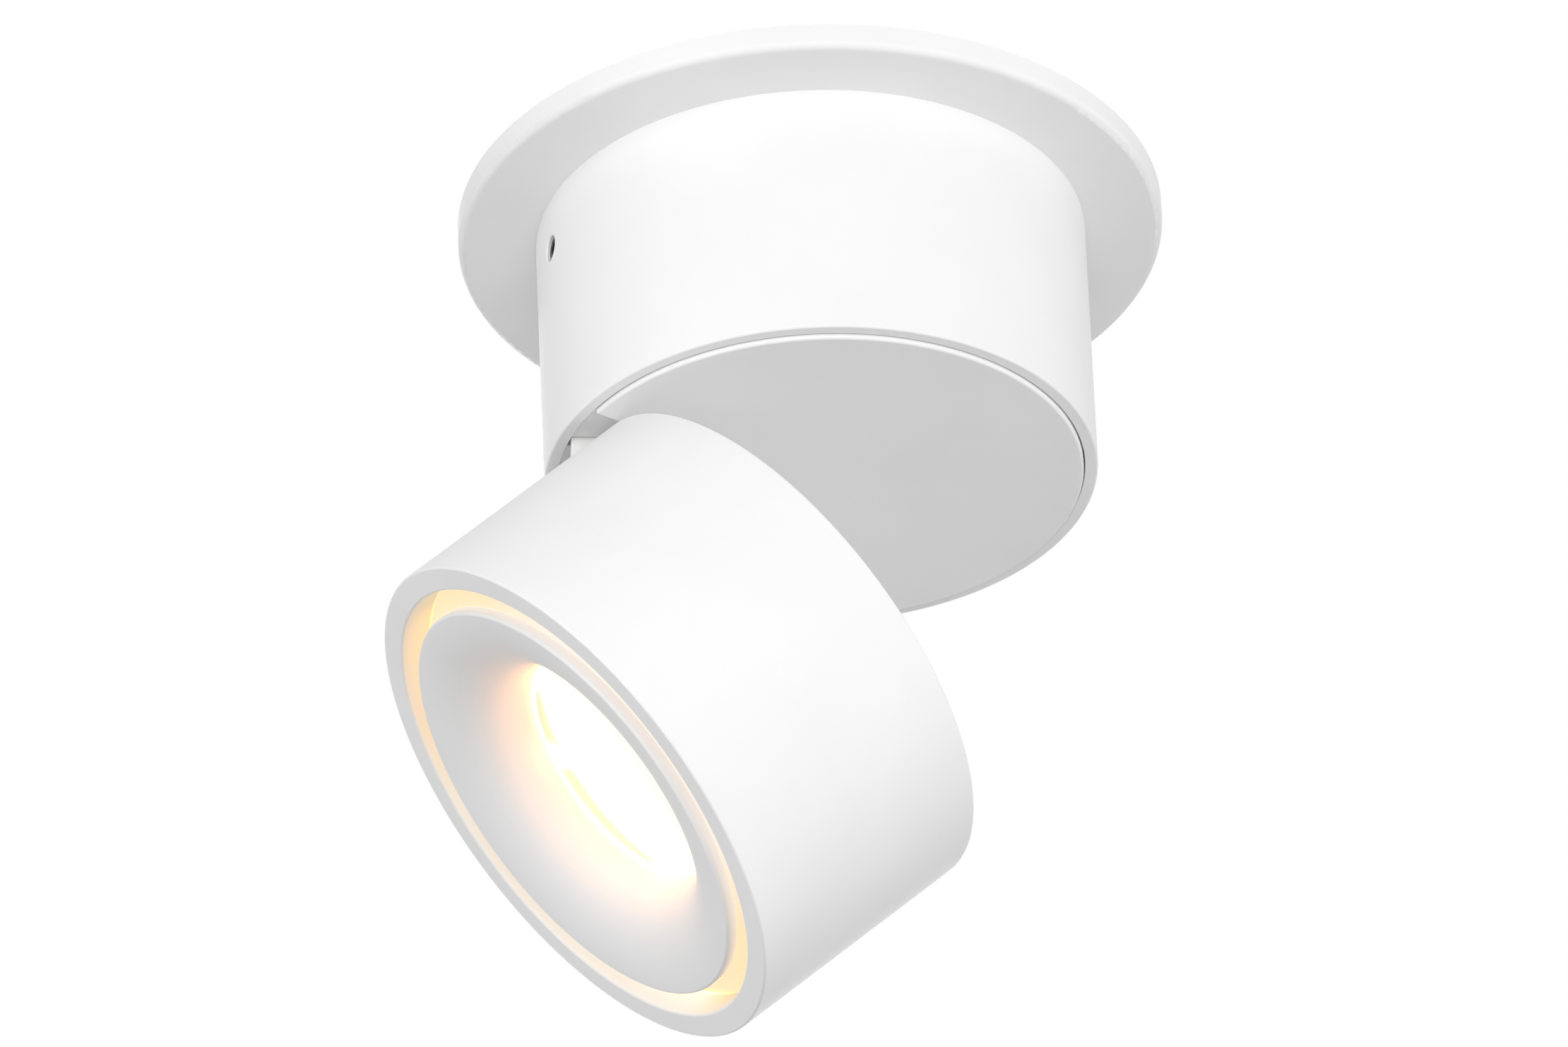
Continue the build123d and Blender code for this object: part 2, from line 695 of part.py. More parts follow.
# Hinge bracket on the disc: a web and two ears that come down through the disc's slots
with BuildPart() as hinge_bracket:
    with BuildSketch(Plane.XY.offset(disc_top)):
        with Locations((bracket_front, 0)):
            Rectangle(bracket_reach, 2 * bracket_half, align=(Align.MIN, Align.CENTER))
        with Locations((bracket_screw_x, 0)):
            with GridLocations(0, bracket_screw_pitch, 1, 2):
                Circle(m3_shank + push_clearance, mode=Mode.SUBTRACT)
    extrude(amount=bracket_thickness)
    with BuildSketch(Plane.XZ.offset(-bracket_half), Plane.XZ.offset(bracket_half - bracket_thickness)):
        with BuildLine():
            Polyline(
                (bracket_front, disc_top + bracket_thickness),
                (bracket_front, disc_bottom),
                (pivot_x - ear_radius, pivot_z),
                (pivot_x + ear_radius, pivot_z),
                (pivot_x + arm_back, disc_bottom),
                (pivot_x + arm_back, disc_top + bracket_thickness),
                close=True,
            )
        make_face()
        with Locations((pivot_x, pivot_z)):
            Circle(ear_radius)
            Circle(pin_radius + thread_clearance, mode=Mode.SUBTRACT)
    extrude(amount=bracket_thickness)
hinge_bracket.part.label = "hinge_bracket"

# Screws of the bracket, into the disc
with BuildPart() as hinge_bracket_screws:
    with Locations((bracket_screw_x, 0, disc_top + bracket_thickness)):
        with GridLocations(0, bracket_screw_pitch, 1, 2):
            bracket_screw_length = bracket_thickness + disc_tapped_depth - blind_end
            pan_screw(m3_shank, bracket_screw_length, m3_head_radius, m3_head)
hinge_bracket_screws.part.label = "hinge_bracket_screws"

# Hinge pin with a round head outside one ear
pin_plane = Plane(origin=(pivot_x, -bracket_half, pivot_z), x_dir=(1, 0, 0), z_dir=(0, 1, 0))
with BuildPart() as hinge_pin:
    with BuildSketch(pin_plane):
        Circle(pin_radius)
    extrude(amount=bracket_half + pin_half_length)
    with BuildSketch(pin_plane):
        Circle(pin_head_radius)
    extrude(amount=-pin_head)
    fillet(hinge_pin.edges().filter_by(GeomType.CIRCLE).sort_by(Axis.Y)[0], radius=soft_edge)
hinge_pin.part.label = "hinge_pin"

# Nut outside the other ear
with BuildPart() as hinge_nut:
    with BuildSketch(pin_plane.offset(2 * bracket_half)):
        RegularPolygon(hinge_nut_flats / 2, 6, major_radius=False)
        Circle(pin_radius + thread_clearance, mode=Mode.SUBTRACT)
    extrude(amount=hinge_nut_height)
hinge_nut.part.label = "hinge_nut"

# Friction washers between the ears and the hinge block
with BuildPart() as friction_washers:
    ear_face = bracket_thickness + swivel_play
    far_face = 2 * bracket_half - bracket_thickness - swivel_play - washer_thickness
    with BuildSketch(pin_plane.offset(ear_face), pin_plane.offset(far_face)):
        ring(friction_washer_radius, pin_radius + thread_clearance)
    extrude(amount=washer_thickness)
friction_washers.part.label = "friction_washers"

# Head tube: front lip, groove for the snap ring and a slot in the back edge for the hinge
with BuildPart() as head_tube:
    with BuildSketch(head_frame):
        ring(tube_radius, bore_radius)
    extrude(amount=head_length)
    with BuildSketch(head_frame):
        ring(bore_radius + tube_wall / 2, lip_radius)
    extrude(amount=lip_depth)
    rounds = head_tube.edges().filter_by(GeomType.CIRCLE)
    front_edges = rounds.group_by(head_line)[0]
    back_edges = rounds.group_by(head_line)[-1]
    fillet(front_edges + back_edges, radius=soft_edge)
    with BuildSketch(head_frame.offset(sink_back - thread_clearance)):
        ring(bore_radius + ring_groove_depth, bore_radius - tube_wall / 2)
    extrude(amount=ring_thickness + 2 * thread_clearance, mode=Mode.SUBTRACT)
    with BuildSketch(head_frame.offset(head_length)):
        with Locations((-tube_radius, 0)):
            Rectangle(2 * pivot_inset, 2 * slot_half_width)
    extrude(amount=-slot_depth, mode=Mode.SUBTRACT)
head_tube.part.label = "head_tube"

# Heat sink: base disc, straight fins clear of the hinge and pillars for the back cover
with BuildPart() as heat_sink:
    with BuildSketch(head_frame.offset(sink_front)):
        Circle(inside_radius)
    extrude(amount=sink_base)
    with BuildSketch(head_frame.offset(sink_back)):
        fin_reach = inside_radius - ring_width
        fin_count = int(2 * fin_reach / fin_pitch)
        with GridLocations(0, fin_pitch, 1, fin_count):
            Rectangle(2 * fin_reach, fin_thickness)
        Circle(fin_reach, mode=Mode.INTERSECT)
        with Locations((pocket_x, 0)):
            pocket_width = 2 * (slot_half_width + slot_side_clearance)
            Rectangle(tube_radius, pocket_width, align=(Align.MAX, Align.CENTER), mode=Mode.SUBTRACT)
        with Locations((pocket_x, 0)):
            Rectangle(
                block_foot_length + slot_side_clearance,
                2 * (block_half + slot_side_clearance),
                align=(Align.MIN, Align.CENTER),
                mode=Mode.SUBTRACT,
            )
    extrude(amount=fin_back - sink_back)
    with BuildSketch(head_frame.offset(sink_back)):
        with PolarLocations(pillar_circle, pillar_count):
            Circle(pillar_radius)
    extrude(amount=cover_front - sink_back)
    with Locations(head_frame.offset(cover_front)):
        with PolarLocations(pillar_circle, pillar_count):
            Hole(m3_shank + thread_clearance, depth=cover_front - sink_back)
    block_screw_x = pivot_x + ear_radius + m3_head_radius + 2 * swivel_play
    block_screw_pitch = 2 * (block_half - m3_head_radius)
    with Locations(head_frame.offset(sink_back)):
        with Locations((block_screw_x, 0)):
            with GridLocations(0, block_screw_pitch, 1, 2):
                Hole(m3_shank + thread_clearance, depth=sink_base - 2 * blind_end)
    with Locations(Plane(origin=head_frame.offset(sink_front).origin, x_dir=head_side, z_dir=-head_axis)):
        holder_screw_circle = holder_radius + holder_foot_width / 2
        with GridLocations(0, 2 * holder_screw_circle, 1, 2):
            Hole(m25_shank + thread_clearance, depth=sink_base - 2 * blind_end)
heat_sink.part.label = "heat_sink"

# Snap ring behind the heat sink's base, with its gap at the hinge
with BuildPart() as retaining_ring:
    with BuildSketch(head_frame.offset(sink_back)):
        ring_outer = bore_radius + ring_groove_depth - thread_clearance
        ring(ring_outer, ring_outer - ring_width)
        with Locations((-ring_outer, 0)):
            Rectangle(2 * pivot_inset, 2 * slot_half_width, mode=Mode.SUBTRACT)
    extrude(amount=ring_thickness)
retaining_ring.part.label = "retaining_ring"

# Hinge block on the heat sink: a foot with two screws and the ear that turns on the pin
with BuildPart() as hinge_block:
    block_front = pivot_x - block_ear_radius
    with BuildSketch(head_section.offset(-block_half)):
        with Locations((block_front, sink_back)):
            Rectangle(block_foot_length, block_foot_height, align=(Align.MIN, Align.MIN))
            Rectangle(2 * block_ear_radius, pivot_depth - sink_back, align=(Align.MIN, Align.MIN))
        with Locations((pivot_x, pivot_depth)):
            Circle(block_ear_radius)
            Circle(pin_radius + running_clearance, mode=Mode.SUBTRACT)
    extrude(amount=2 * block_half)
    with Locations(head_frame.offset(sink_back + block_foot_height)):
        with Locations((block_screw_x, 0)):
            with GridLocations(0, block_screw_pitch, 1, 2):
                Hole(m3_shank + push_clearance, depth=block_foot_height)
hinge_block.part.label = "hinge_block"

# Screws of the hinge block, into the heat sink
with BuildPart() as hinge_block_screws:
    with Locations(head_frame.offset(sink_back + block_foot_height)):
        with Locations((block_screw_x, 0)):
            with GridLocations(0, block_screw_pitch, 1, 2):
                block_screw_length = block_foot_height + sink_base - 3 * blind_end
                pan_screw(m3_shank, block_screw_length, m3_head_radius, m3_head)
hinge_block_screws.part.label = "hinge_block_screws"

# Back cover with a cut-out for the hinge and countersunk holes
with BuildPart() as back_cover:
    with BuildSketch(head_frame.offset(cover_front)):
        Circle(inside_radius)
        with Locations((pocket_x, 0)):
            Rectangle(
                tube_radius, 2 * slot_half_width, align=(Align.MAX, Align.CENTER), mode=Mode.SUBTRACT
            )
    extrude(amount=cover_thickness)
    with Locations(head_frame.offset(cover_back)):
        with PolarLocations(pillar_circle, pillar_count):
            CounterSinkHole(
                radius=m3_shank + push_clearance,
                counter_sink_radius=m3_head_radius + push_clearance,
                counter_sink_angle=countersink_angle,
            )
back_cover.part.label = "back_cover"

# Countersunk screws of the back cover, into the pillars
with BuildPart() as back_cover_screws:
    with Locations(head_frame.offset(cover_back)):
        with PolarLocations(pillar_circle, pillar_count):
            flat_screw(m3_shank, cover_back - sink_back - 3 * blind_end, m3_head_radius)
back_cover_screws.part.label = "back_cover_screws"

# Thermal pad between the light board and the heat sink
with BuildPart() as thermal_pad:
    with BuildSketch(head_frame.offset(pad_front)):
        Circle(board_radius)
        with GridLocations(0, 2 * holder_screw_circle, 1, 2):
            Circle(m25_shank + push_clearance, mode=Mode.SUBTRACT)
    extrude(amount=pad_thickness)
thermal_pad.part.label = "thermal_pad"

# Round light board
with BuildPart() as led_board:
    with BuildSketch(head_frame.offset(board_front)):
        Circle(board_radius)
        with GridLocations(0, 2 * holder_screw_circle, 1, 2):
            Circle(m25_shank + push_clearance, mode=Mode.SUBTRACT)
    extrude(amount=board_thickness)
led_board.part.label = "led_board"

# Main emitter: square carrier with a round phosphor field
with BuildPart() as led_emitter:
    with BuildSketch(head_frame.offset(board_front - emitter_base)):
        Rectangle(emitter_side, emitter_side)
    extrude(amount=emitter_base)
    with BuildSketch(head_frame.offset(emitter_front)):
        Circle(emitter_disc_radius)
    extrude(amount=emitter_disc)
led_emitter.part.label = "led_emitter"

# Small emitters round the board's edge, which light the glow disc
with BuildPart() as glow_leds:
    with BuildSketch(head_frame.offset(board_front - glow_led_height)):
        with PolarLocations(board_radius - glow_led_inset, glow_led_count, start_angle=180 / glow_led_count):
            Rectangle(glow_led_side, glow_led_side)
    extrude(amount=glow_led_height)
glow_leds.part.label = "glow_leds"

# Holder ring: seats the lens and the reflector's throat, screwed through the board
with BuildPart() as led_holder:
    with BuildSketch(head_section):
        with BuildLine():
            Polyline(
                (holder_bore, holder_front),
                (holder_bore, lens_back),
                (holder_seat_radius, lens_back),
                (holder_seat_radius, board_front),
                (holder_foot_radius, board_front),
                (holder_foot_radius, board_front - holder_foot_height),
                (holder_radius, board_front - holder_foot_height),
                (holder_radius, holder_front),
                close=True,
            )
        make_face()
    revolve(axis=head_line)
    with Locations(Plane(origin=head_frame.offset(board_front - holder_foot_height).origin, z_dir=-head_axis)):
        with GridLocations(0, 2 * holder_screw_circle, 1, 2):
            Hole(m25_shank + push_clearance, depth=holder_foot_height)
led_holder.part.label = "led_holder"

# Screws of the holder, through board and pad into the heat sink
with BuildPart() as led_holder_screws:
    with Locations(Plane(origin=head_frame.offset(board_front - holder_foot_height).origin, z_dir=-head_axis)):
        with GridLocations(0, 2 * holder_screw_circle, 1, 2):
            holder_stack = holder_foot_height + board_thickness + pad_thickness
            pan_screw(m25_shank, holder_stack + sink_base - 3 * blind_end, m25_head_radius, m25_head)
led_holder_screws.part.label = "led_holder_screws"

# Clear lens over the emitter, held at its flange, whose barrel stands in the reflector's throat
with BuildPart() as front_lens:
    with BuildSketch(head_section):
        lens_neck = holder_seat_radius - push_clearance
        lens_barrel = throat_radius - push_clearance
        with BuildLine():
            Polyline(
                (0, lens_face),
                (lens_barrel - lens_chamfer, lens_face),
                (lens_barrel, lens_face + lens_chamfer),
                (lens_barrel, lens_seat),
                (lens_radius, lens_seat),
                (lens_radius, lens_back),
                (lens_neck, lens_back),
                (lens_foot_radius, lens_foot),
                (0, lens_foot),
                close=True,
            )
        make_face()
    revolve(axis=head_line)
front_lens.part.label = "front_lens"

# Spacer ring that presses the glow disc against the lip
with BuildPart() as spacer_ring:
    with BuildSketch(head_frame.offset(glow_back)):
        ring(inside_radius, inside_radius - spacer_wall)
    extrude(amount=spacer_height)
spacer_ring.part.label = "spacer_ring"

# Frosted disc behind the lip, with a ridge that slopes from the reflector's skirt down to the lip's wall
with BuildPart() as glow_disc:
    with BuildSketch(head_section):
        ridge_inside = reflector_radius + push_clearance
        with BuildLine():
            Polyline(
                (glow_bore, lip_depth),
                (ridge_inside, lip_depth),
                (ridge_inside, glow_crest),
                (lip_radius, lip_depth),
                (inside_radius, lip_depth),
                (inside_radius, glow_back),
                (glow_bore, glow_back),
                close=True,
            )
        make_face()
    revolve(axis=head_line)
glow_disc.part.label = "glow_disc"

# Reflector: a bell mouth, a quarter ellipse from the flat rim round into the throat, with a skirt
bell_width = reflector_radius - throat_radius
inner_bell_width = bell_width - reflector_wall
bell_depth = throat_depth + reflector_proud
inner_bell_depth = bell_depth - reflector_wall
skirt_inside = reflector_radius - reflector_wall
skirt_turn = degrees(acos(reflector_wall / inner_bell_width))
with BuildPart() as reflector:
    with BuildSketch(head_section):
        with BuildLine():
            bell_centre = (reflector_radius, throat_depth)
            bell = EllipticalCenterArc(bell_centre, bell_width, bell_depth, start_angle=180, arc_size=90)
            inner_bell = EllipticalCenterArc(
                bell_centre, inner_bell_width, inner_bell_depth, start_angle=180, arc_size=skirt_turn
            )
            Polyline(bell @ 1, (reflector_radius, lip_depth), (skirt_inside, lip_depth), inner_bell @ 1)
            Polyline(
                inner_bell @ 0,
                (throat_radius + reflector_wall, lens_seat),
                (throat_radius, lens_seat),
                bell @ 0,
            )
        make_face()
    revolve(axis=head_line)
reflector.part.label = "reflector"

pieces = (
    ceiling_plate, spigot_ring, cable_grommet, terminal_block, terminal_screws, terminal_fixing_screws, earth_screw,
    base_tube, tube_grub_screws, bearing_plate, bearing_plate_screws, swivel_bush, stop_pin,
    driver_case, driver_lid, driver_board, driver_transformer, driver_capacitors, driver_screws,
    swivel_disc, swivel_stem, stem_screws, stop_washer, spring_washer, swivel_nut,
    hinge_bracket, hinge_bracket_screws, hinge_pin, hinge_nut, friction_washers,
    head_tube, heat_sink, retaining_ring, hinge_block, hinge_block_screws, back_cover, back_cover_screws,
    thermal_pad, led_board, led_emitter, glow_leds, led_holder, led_holder_screws, front_lens,
    spacer_ring, glow_disc, reflector,
)
os.makedirs("parts", exist_ok=True)
for piece in pieces:
    export_step(piece.part, f"parts/{piece.part.label}.step")
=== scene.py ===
# %% [markdown]
# # A folding ceiling spot
# The lamp hangs under a ceiling: a round plate, a fixed tube, a swivel disc in the tube's lower end, and a
# lamp head that folds out on a hidden hinge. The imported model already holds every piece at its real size
# and place. This lesson gives the lamp its looks: finer surfaces for the pieces that show, a finish for
# each material, the light of the lamp itself, and a plain studio around it.

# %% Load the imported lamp
import json
import bmesh
import bpy
import numpy as np
from mathutils import Matrix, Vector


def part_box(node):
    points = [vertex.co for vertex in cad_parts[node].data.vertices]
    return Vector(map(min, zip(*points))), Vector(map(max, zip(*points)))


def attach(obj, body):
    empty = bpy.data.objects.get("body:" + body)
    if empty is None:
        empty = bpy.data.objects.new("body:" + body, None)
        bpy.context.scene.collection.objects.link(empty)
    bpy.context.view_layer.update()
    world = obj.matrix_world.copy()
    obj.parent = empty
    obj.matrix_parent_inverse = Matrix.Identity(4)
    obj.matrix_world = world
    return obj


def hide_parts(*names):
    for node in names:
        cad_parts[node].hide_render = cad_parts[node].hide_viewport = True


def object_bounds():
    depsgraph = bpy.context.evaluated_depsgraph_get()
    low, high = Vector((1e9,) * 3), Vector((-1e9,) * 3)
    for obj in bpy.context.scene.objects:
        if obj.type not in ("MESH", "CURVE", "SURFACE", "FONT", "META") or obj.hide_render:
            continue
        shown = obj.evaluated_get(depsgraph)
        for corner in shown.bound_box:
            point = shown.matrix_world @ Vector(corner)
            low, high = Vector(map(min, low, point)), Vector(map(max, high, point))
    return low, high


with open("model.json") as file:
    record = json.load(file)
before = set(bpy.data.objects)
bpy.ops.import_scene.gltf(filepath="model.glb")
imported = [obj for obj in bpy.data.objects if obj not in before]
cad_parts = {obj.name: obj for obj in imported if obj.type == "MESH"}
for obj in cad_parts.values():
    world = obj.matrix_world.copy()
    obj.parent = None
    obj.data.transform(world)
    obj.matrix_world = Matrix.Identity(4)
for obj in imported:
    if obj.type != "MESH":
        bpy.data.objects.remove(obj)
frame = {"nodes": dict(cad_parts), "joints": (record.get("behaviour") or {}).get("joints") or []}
cad_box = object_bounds()
print("solids in the packed lamp:", len(frame["nodes"]))

# %% [markdown]
# A new surface has to lie exactly where its solid lies. So the main sizes are read from the corners of the
# solids and from the two joints. Two sizes that differ by less than a hair count as one. The head is
# easiest to describe in its own frame, with depths counted from its front face, so one small function
# carries such points into the lamp.

# %% Measure the fixed tube and the head's frame
mm = 0.001
hair = 0.01 * mm
tube_wall = 2.0 * mm


def node_points(name):
    """All corners of a solid's mesh, one row each, in metres."""
    mesh = frame["nodes"][name].data
    points = np.empty(len(mesh.vertices) * 3)
    mesh.vertices.foreach_get("co", points)
    return points.reshape(-1, 3)


def radii_of(points):
    """Distance of each point from the third axis."""
    return np.hypot(points[:, 0], points[:, 1])


def levels_of(values):
    """The different levels among the values, lowest first, told apart to a thousandth of a millimetre."""
    return np.unique(np.round(values, 6))


tube_points = node_points("base_tube")
tube_radius = radii_of(tube_points).max()
tube_top = tube_points[:, 2].max()
tube_rim = tube_points[:, 2].min()
tube_bore = tube_radius - tube_wall

joints = {joint["name"]: joint for joint in frame["joints"]}
hinge = np.array(joints["head_tilt"]["pos_m"])
head_tilt = -np.radians(joints["head_tilt"]["range_deg"][0])
head_side = np.array([np.cos(head_tilt), 0.0, -np.sin(head_tilt)])
head_back = np.array([np.sin(head_tilt), 0.0, np.cos(head_tilt)])
head_axes = np.stack([head_side, np.array([0.0, 1.0, 0.0]), head_back])
head_depths = node_points("head_tube") @ head_back
head_length = np.ptp(head_depths)
front_centre = head_side * (hinge @ head_side - hinge[0]) + head_back * head_depths.min()


def to_head(points):
    """Places points given as (side, across, depth) from the centre of the head's front face."""
    return front_centre + points @ head_axes


def in_head(name):
    """Corners of a solid as (side, across, depth) from the centre of the head's front face."""
    return (node_points(name) - front_centre) @ head_axes.T


print("tube radius mm:", round(tube_radius / mm, 2), "head length mm:", round(head_length / mm, 2))

# %% [markdown]
# The camera stands below the lamp and looks up at it. It is far away with a long lens, so the lamp's
# parallel edges hardly converge. The camera starts at the tube's top, turns round the lamp, tips up, rolls
# a little and then steps back and sideways along its own axes.

# %% Camera
view_turn = np.radians(-6.454)
view_rise = np.radians(32.184)
view_roll = np.radians(-2.567)
view_step = (-4.1 * mm, -43.48 * mm, 2762.5 * mm)

camera_data = bpy.data.cameras.new("studio_camera")
camera_data.sensor_width = 36.0
camera_data.lens = 410.07
camera_data.clip_end = 20.0
camera = bpy.data.objects.new("studio_camera", camera_data)
bpy.context.scene.collection.objects.link(camera)
camera.matrix_world = (
    Matrix.Translation((0, 0, tube_top))
    @ Matrix.Rotation(view_turn, 4, "Z")
    @ Matrix.Rotation(np.pi / 2 + view_rise, 4, "X")
    @ Matrix.Rotation(view_roll, 4, "Z")
    @ Matrix.Translation(view_step)
)
bpy.context.scene.camera = camera
print("camera at", [round(value, 3) for value in camera.matrix_world.translation])

# %% [markdown]
# The studio is plain: a white world, a pale floor far below, a wide soft box in front, a small one near
# the lamp, and weaker ones on each side and behind. The near one makes surfaces that face down lighter
# towards the front. The world looks pure white to the camera and in mirrors, but lights the lamp less than
# that, so white paint keeps its shading instead of burning out.

# %% Studio
white = (1.0, 1.0, 1.0, 1.0)
world_light = 0.5
world_seen = 1.0
softbox_size = 1.6
near_size = 0.7


def seen_level(tree, plain, shown):
    """The shown number where the camera, a mirror or glass looks, and the plain one for all other light."""
    rays = tree.nodes.new("ShaderNodeLightPath")
    mirrored = tree.nodes.new("ShaderNodeMath")
    mirrored.operation = "MAXIMUM"
    through = tree.nodes.new("ShaderNodeMath")
    through.operation = "MAXIMUM"
    level = tree.nodes.new("ShaderNodeMapRange")
    level.inputs["To Min"].default_value = plain
    level.inputs["To Max"].default_value = shown
    tree.links.new(rays.outputs["Is Camera Ray"], mirrored.inputs[0])
    tree.links.new(rays.outputs["Is Glossy Ray"], mirrored.inputs[1])
    tree.links.new(mirrored.outputs[0], through.inputs[0])
    tree.links.new(rays.outputs["Is Transmission Ray"], through.inputs[1])
    tree.links.new(through.outputs[0], level.inputs["Value"])
    return level.outputs[0]


def soft_lamp(name, place, target, size, power):
    """Square area lamp at a place, turned towards a target."""
    data = bpy.data.lights.new(name, "AREA")
    data.size = size
    data.energy = power
    lamp = bpy.data.objects.new(name, data)
    bpy.context.scene.collection.objects.link(lamp)
    lamp.location = place
    lamp.rotation_euler = (target - lamp.location).to_track_quat("-Z", "Y").to_euler()


world = bpy.data.worlds.new("white_room")
world.use_nodes = True
bpy.context.scene.world = world
backdrop = world.node_tree.nodes["Background"]
backdrop.inputs["Color"].default_value = white
world_level = seen_level(world.node_tree, world_light, world_seen)
world.node_tree.links.new(world_level, backdrop.inputs["Strength"])

lamp_middle = (cad_box[0] + cad_box[1]) / 2
soft_lamp("front_softbox", (0.0, -2.6, -0.4), lamp_middle, softbox_size, 24.6)
soft_lamp("near_softbox", (0.0, -1.0, -0.35), lamp_middle, near_size, 2.8)
soft_lamp("left_softbox", (-2.6, -0.5, -0.2), lamp_middle, softbox_size, 18.2)
soft_lamp("right_softbox", (2.6, -0.2, -0.5), lamp_middle, softbox_size, 17.0)
soft_lamp("back_softbox", (0.0, 2.6, 0.9), lamp_middle, softbox_size, 20.0)
bpy.context.scene.view_settings.view_transform = "Standard"
print("soft boxes:", len(bpy.data.lights))

# %% [markdown]
# The floor is one large square. It lies several metres below the ceiling, as in a high room, so it shows
# only when the lamp is seen from above.

# %% Floor
floor_drop = 4.5
floor_half = 7.0
floor_corners = np.array([(-1, -1, 0), (1, -1, 0), (1, 1, 0), (-1, 1, 0)], float) * floor_half
floor_corners[:, 2] = -floor_drop
floor_mesh = bpy.data.meshes.new("pale_floor")
floor_mesh.from_pydata(floor_corners.tolist(), [], [(0, 1, 2, 3)])
floor = bpy.data.objects.new("pale_floor", floor_mesh)
bpy.context.scene.collection.objects.link(floor)
print("floor", floor_drop, "m below the ceiling face")

# %% [markdown]
# Every finish here is a small variation on a plain colour: a pattern makes the colour drift a little, the
# gloss vary and the surface rise and fall by a few thousandths of a millimetre. The helpers below do that
# work, so each finish stays a few lines long. The patterns read the piece's own coordinates, so they stay
# on the piece when it moves.

# %% Helpers for finishes
cloud_low = 0.35
cloud_high = 0.65


def new_finish(name):
    """An empty finish: the material, its node tree and its main shader."""
    material = bpy.data.materials.new(name)
    material.use_nodes = True
    return material, material.node_tree, material.node_tree.nodes["Principled BSDF"]


def own_noise(tree, per_metre, stretch=(1.0, 1.0, 1.0), detail=2.0):
    """Cloudy pattern from 0 to 1 with about per_metre clouds in a metre, drawn out along an axis whose
    stretch is small."""
    place = tree.nodes.new("ShaderNodeTexCoord")
    mapping = tree.nodes.new("ShaderNodeMapping")
    mapping.inputs["Scale"].default_value = stretch
    noise = tree.nodes.new("ShaderNodeTexNoise")
    noise.inputs["Scale"].default_value = per_metre
    noise.inputs["Detail"].default_value = detail
    tree.links.new(place.outputs["Object"], mapping.inputs["Vector"])
    tree.links.new(mapping.outputs["Vector"], noise.inputs["Vector"])
    return noise.outputs["Fac"]


def tint(tree, pattern, socket, *stops):
    """Colour on a socket that passes through each stop's colour where the pattern has the stop's value."""
    ramp = tree.nodes.new("ShaderNodeValToRGB")
    elements = ramp.color_ramp.elements
    for stop in stops[1:-1]:
        elements.new(stop[0])
    for element, (place, colour) in zip(elements, stops):
        element.position = place
        element.color = (*colour, 1.0)
    tree.links.new(pattern, ramp.inputs["Fac"])
    tree.links.new(ramp.outputs["Color"], socket)


def drift_colour(tree, pattern, shader, colour, share):
    """Base colour that drifts with the pattern between a share of its brightness and the whole of it."""
    darker = tuple(share * value for value in colour)
    tint(tree, pattern, shader.inputs["Base Color"], (cloud_low, darker), (cloud_high, colour))


def vary(tree, pattern, socket, low, high, start=0.3, end=0.7):
    """Number on a socket that goes from low to high where the pattern goes from start to end."""
    spread = tree.nodes.new("ShaderNodeMapRange")
    spread.inputs["From Min"].default_value = start
    spread.inputs["From Max"].default_value = end
    spread.inputs["To Min"].default_value = low
    spread.inputs["To Max"].default_value = high
    tree.links.new(pattern, spread.inputs["Value"])
    tree.links.new(spread.outputs["Result"], socket)


def emboss(tree, pattern, shader, height):
    """Relief of that height in metres, raised where the pattern is high."""
    bump = tree.nodes.new("ShaderNodeBump")
    bump.inputs["Strength"].default_value = 1.0
    bump.inputs["Distance"].default_value = height
    tree.links.new(pattern, bump.inputs["Height"])
    tree.links.new(bump.outputs["Normal"], shader.inputs["Normal"])


# %% [markdown]
# Most of the lamp wears a satin white powder coat. Powder melts into a film that is not quite flat: seen
# close, it has the faint dimples of an orange's skin. Paint and moulded plastic differ mainly in how deep
# those dimples are and how broad the gloss is, so one function makes both.

# %% Coats and plastics
coat_clouds = 45.0
coat_spread = 0.06


def coated(name, colour, roughness, dimple, dimples_per_metre=1500.0, gloss=0.5, drift=0.975):
    """Paint or plastic: colour drifts slowly, and gloss varies with dimples of that depth in metres."""
    material, tree, shader = new_finish(name)
    dimples = own_noise(tree, dimples_per_metre, detail=1.0)
    drift_colour(tree, own_noise(tree, coat_clouds), shader, colour, drift)
    vary(tree, dimples, shader.inputs["Roughness"], roughness - coat_spread, roughness + coat_spread)
    emboss(tree, dimples, shader, dimple)
    shader.inputs["Specular IOR Level"].default_value = gloss
    return material


finishes = {
    "white_coat": coated("white_coat_satin", (0.86, 0.86, 0.86), 0.55, 0.0022 * mm, gloss=0.25),
    "white_reflector": coated("white_reflector_satin", (0.85, 0.85, 0.85), 0.6, 0.0015 * mm, gloss=0.2),
    "white_steel": coated("white_steel_paint", (0.84, 0.84, 0.83), 0.5, 0.003 * mm, 1100.0, gloss=0.3),
    "white_plastic": coated("white_moulding", (0.80, 0.80, 0.78), 0.42, 0.004 * mm, 900.0),
    "bearing_plastic": coated("bearing_moulding", (0.74, 0.72, 0.66), 0.35, 0.003 * mm, 700.0),
    "black_rubber": coated("black_rubber_matt", (0.022, 0.022, 0.023), 0.72, 0.008 * mm, 1100.0, drift=0.8),
    "dark_component": coated("dark_casing", (0.030, 0.031, 0.034), 0.45, 0.004 * mm, 1300.0, drift=0.8),
    "grey_pad": coated("grey_pad_soft", (0.30, 0.31, 0.33), 0.8, 0.010 * mm, 1600.0, drift=0.9),
    "white_board": coated("white_board_mask", (0.82, 0.82, 0.80), 0.3, 0.002 * mm, 800.0),
    "green_board": coated("green_board_mask", (0.02, 0.16, 0.06), 0.3, 0.006 * mm, 420.0, drift=0.7),
}
print("coats and plastics:", len(finishes))

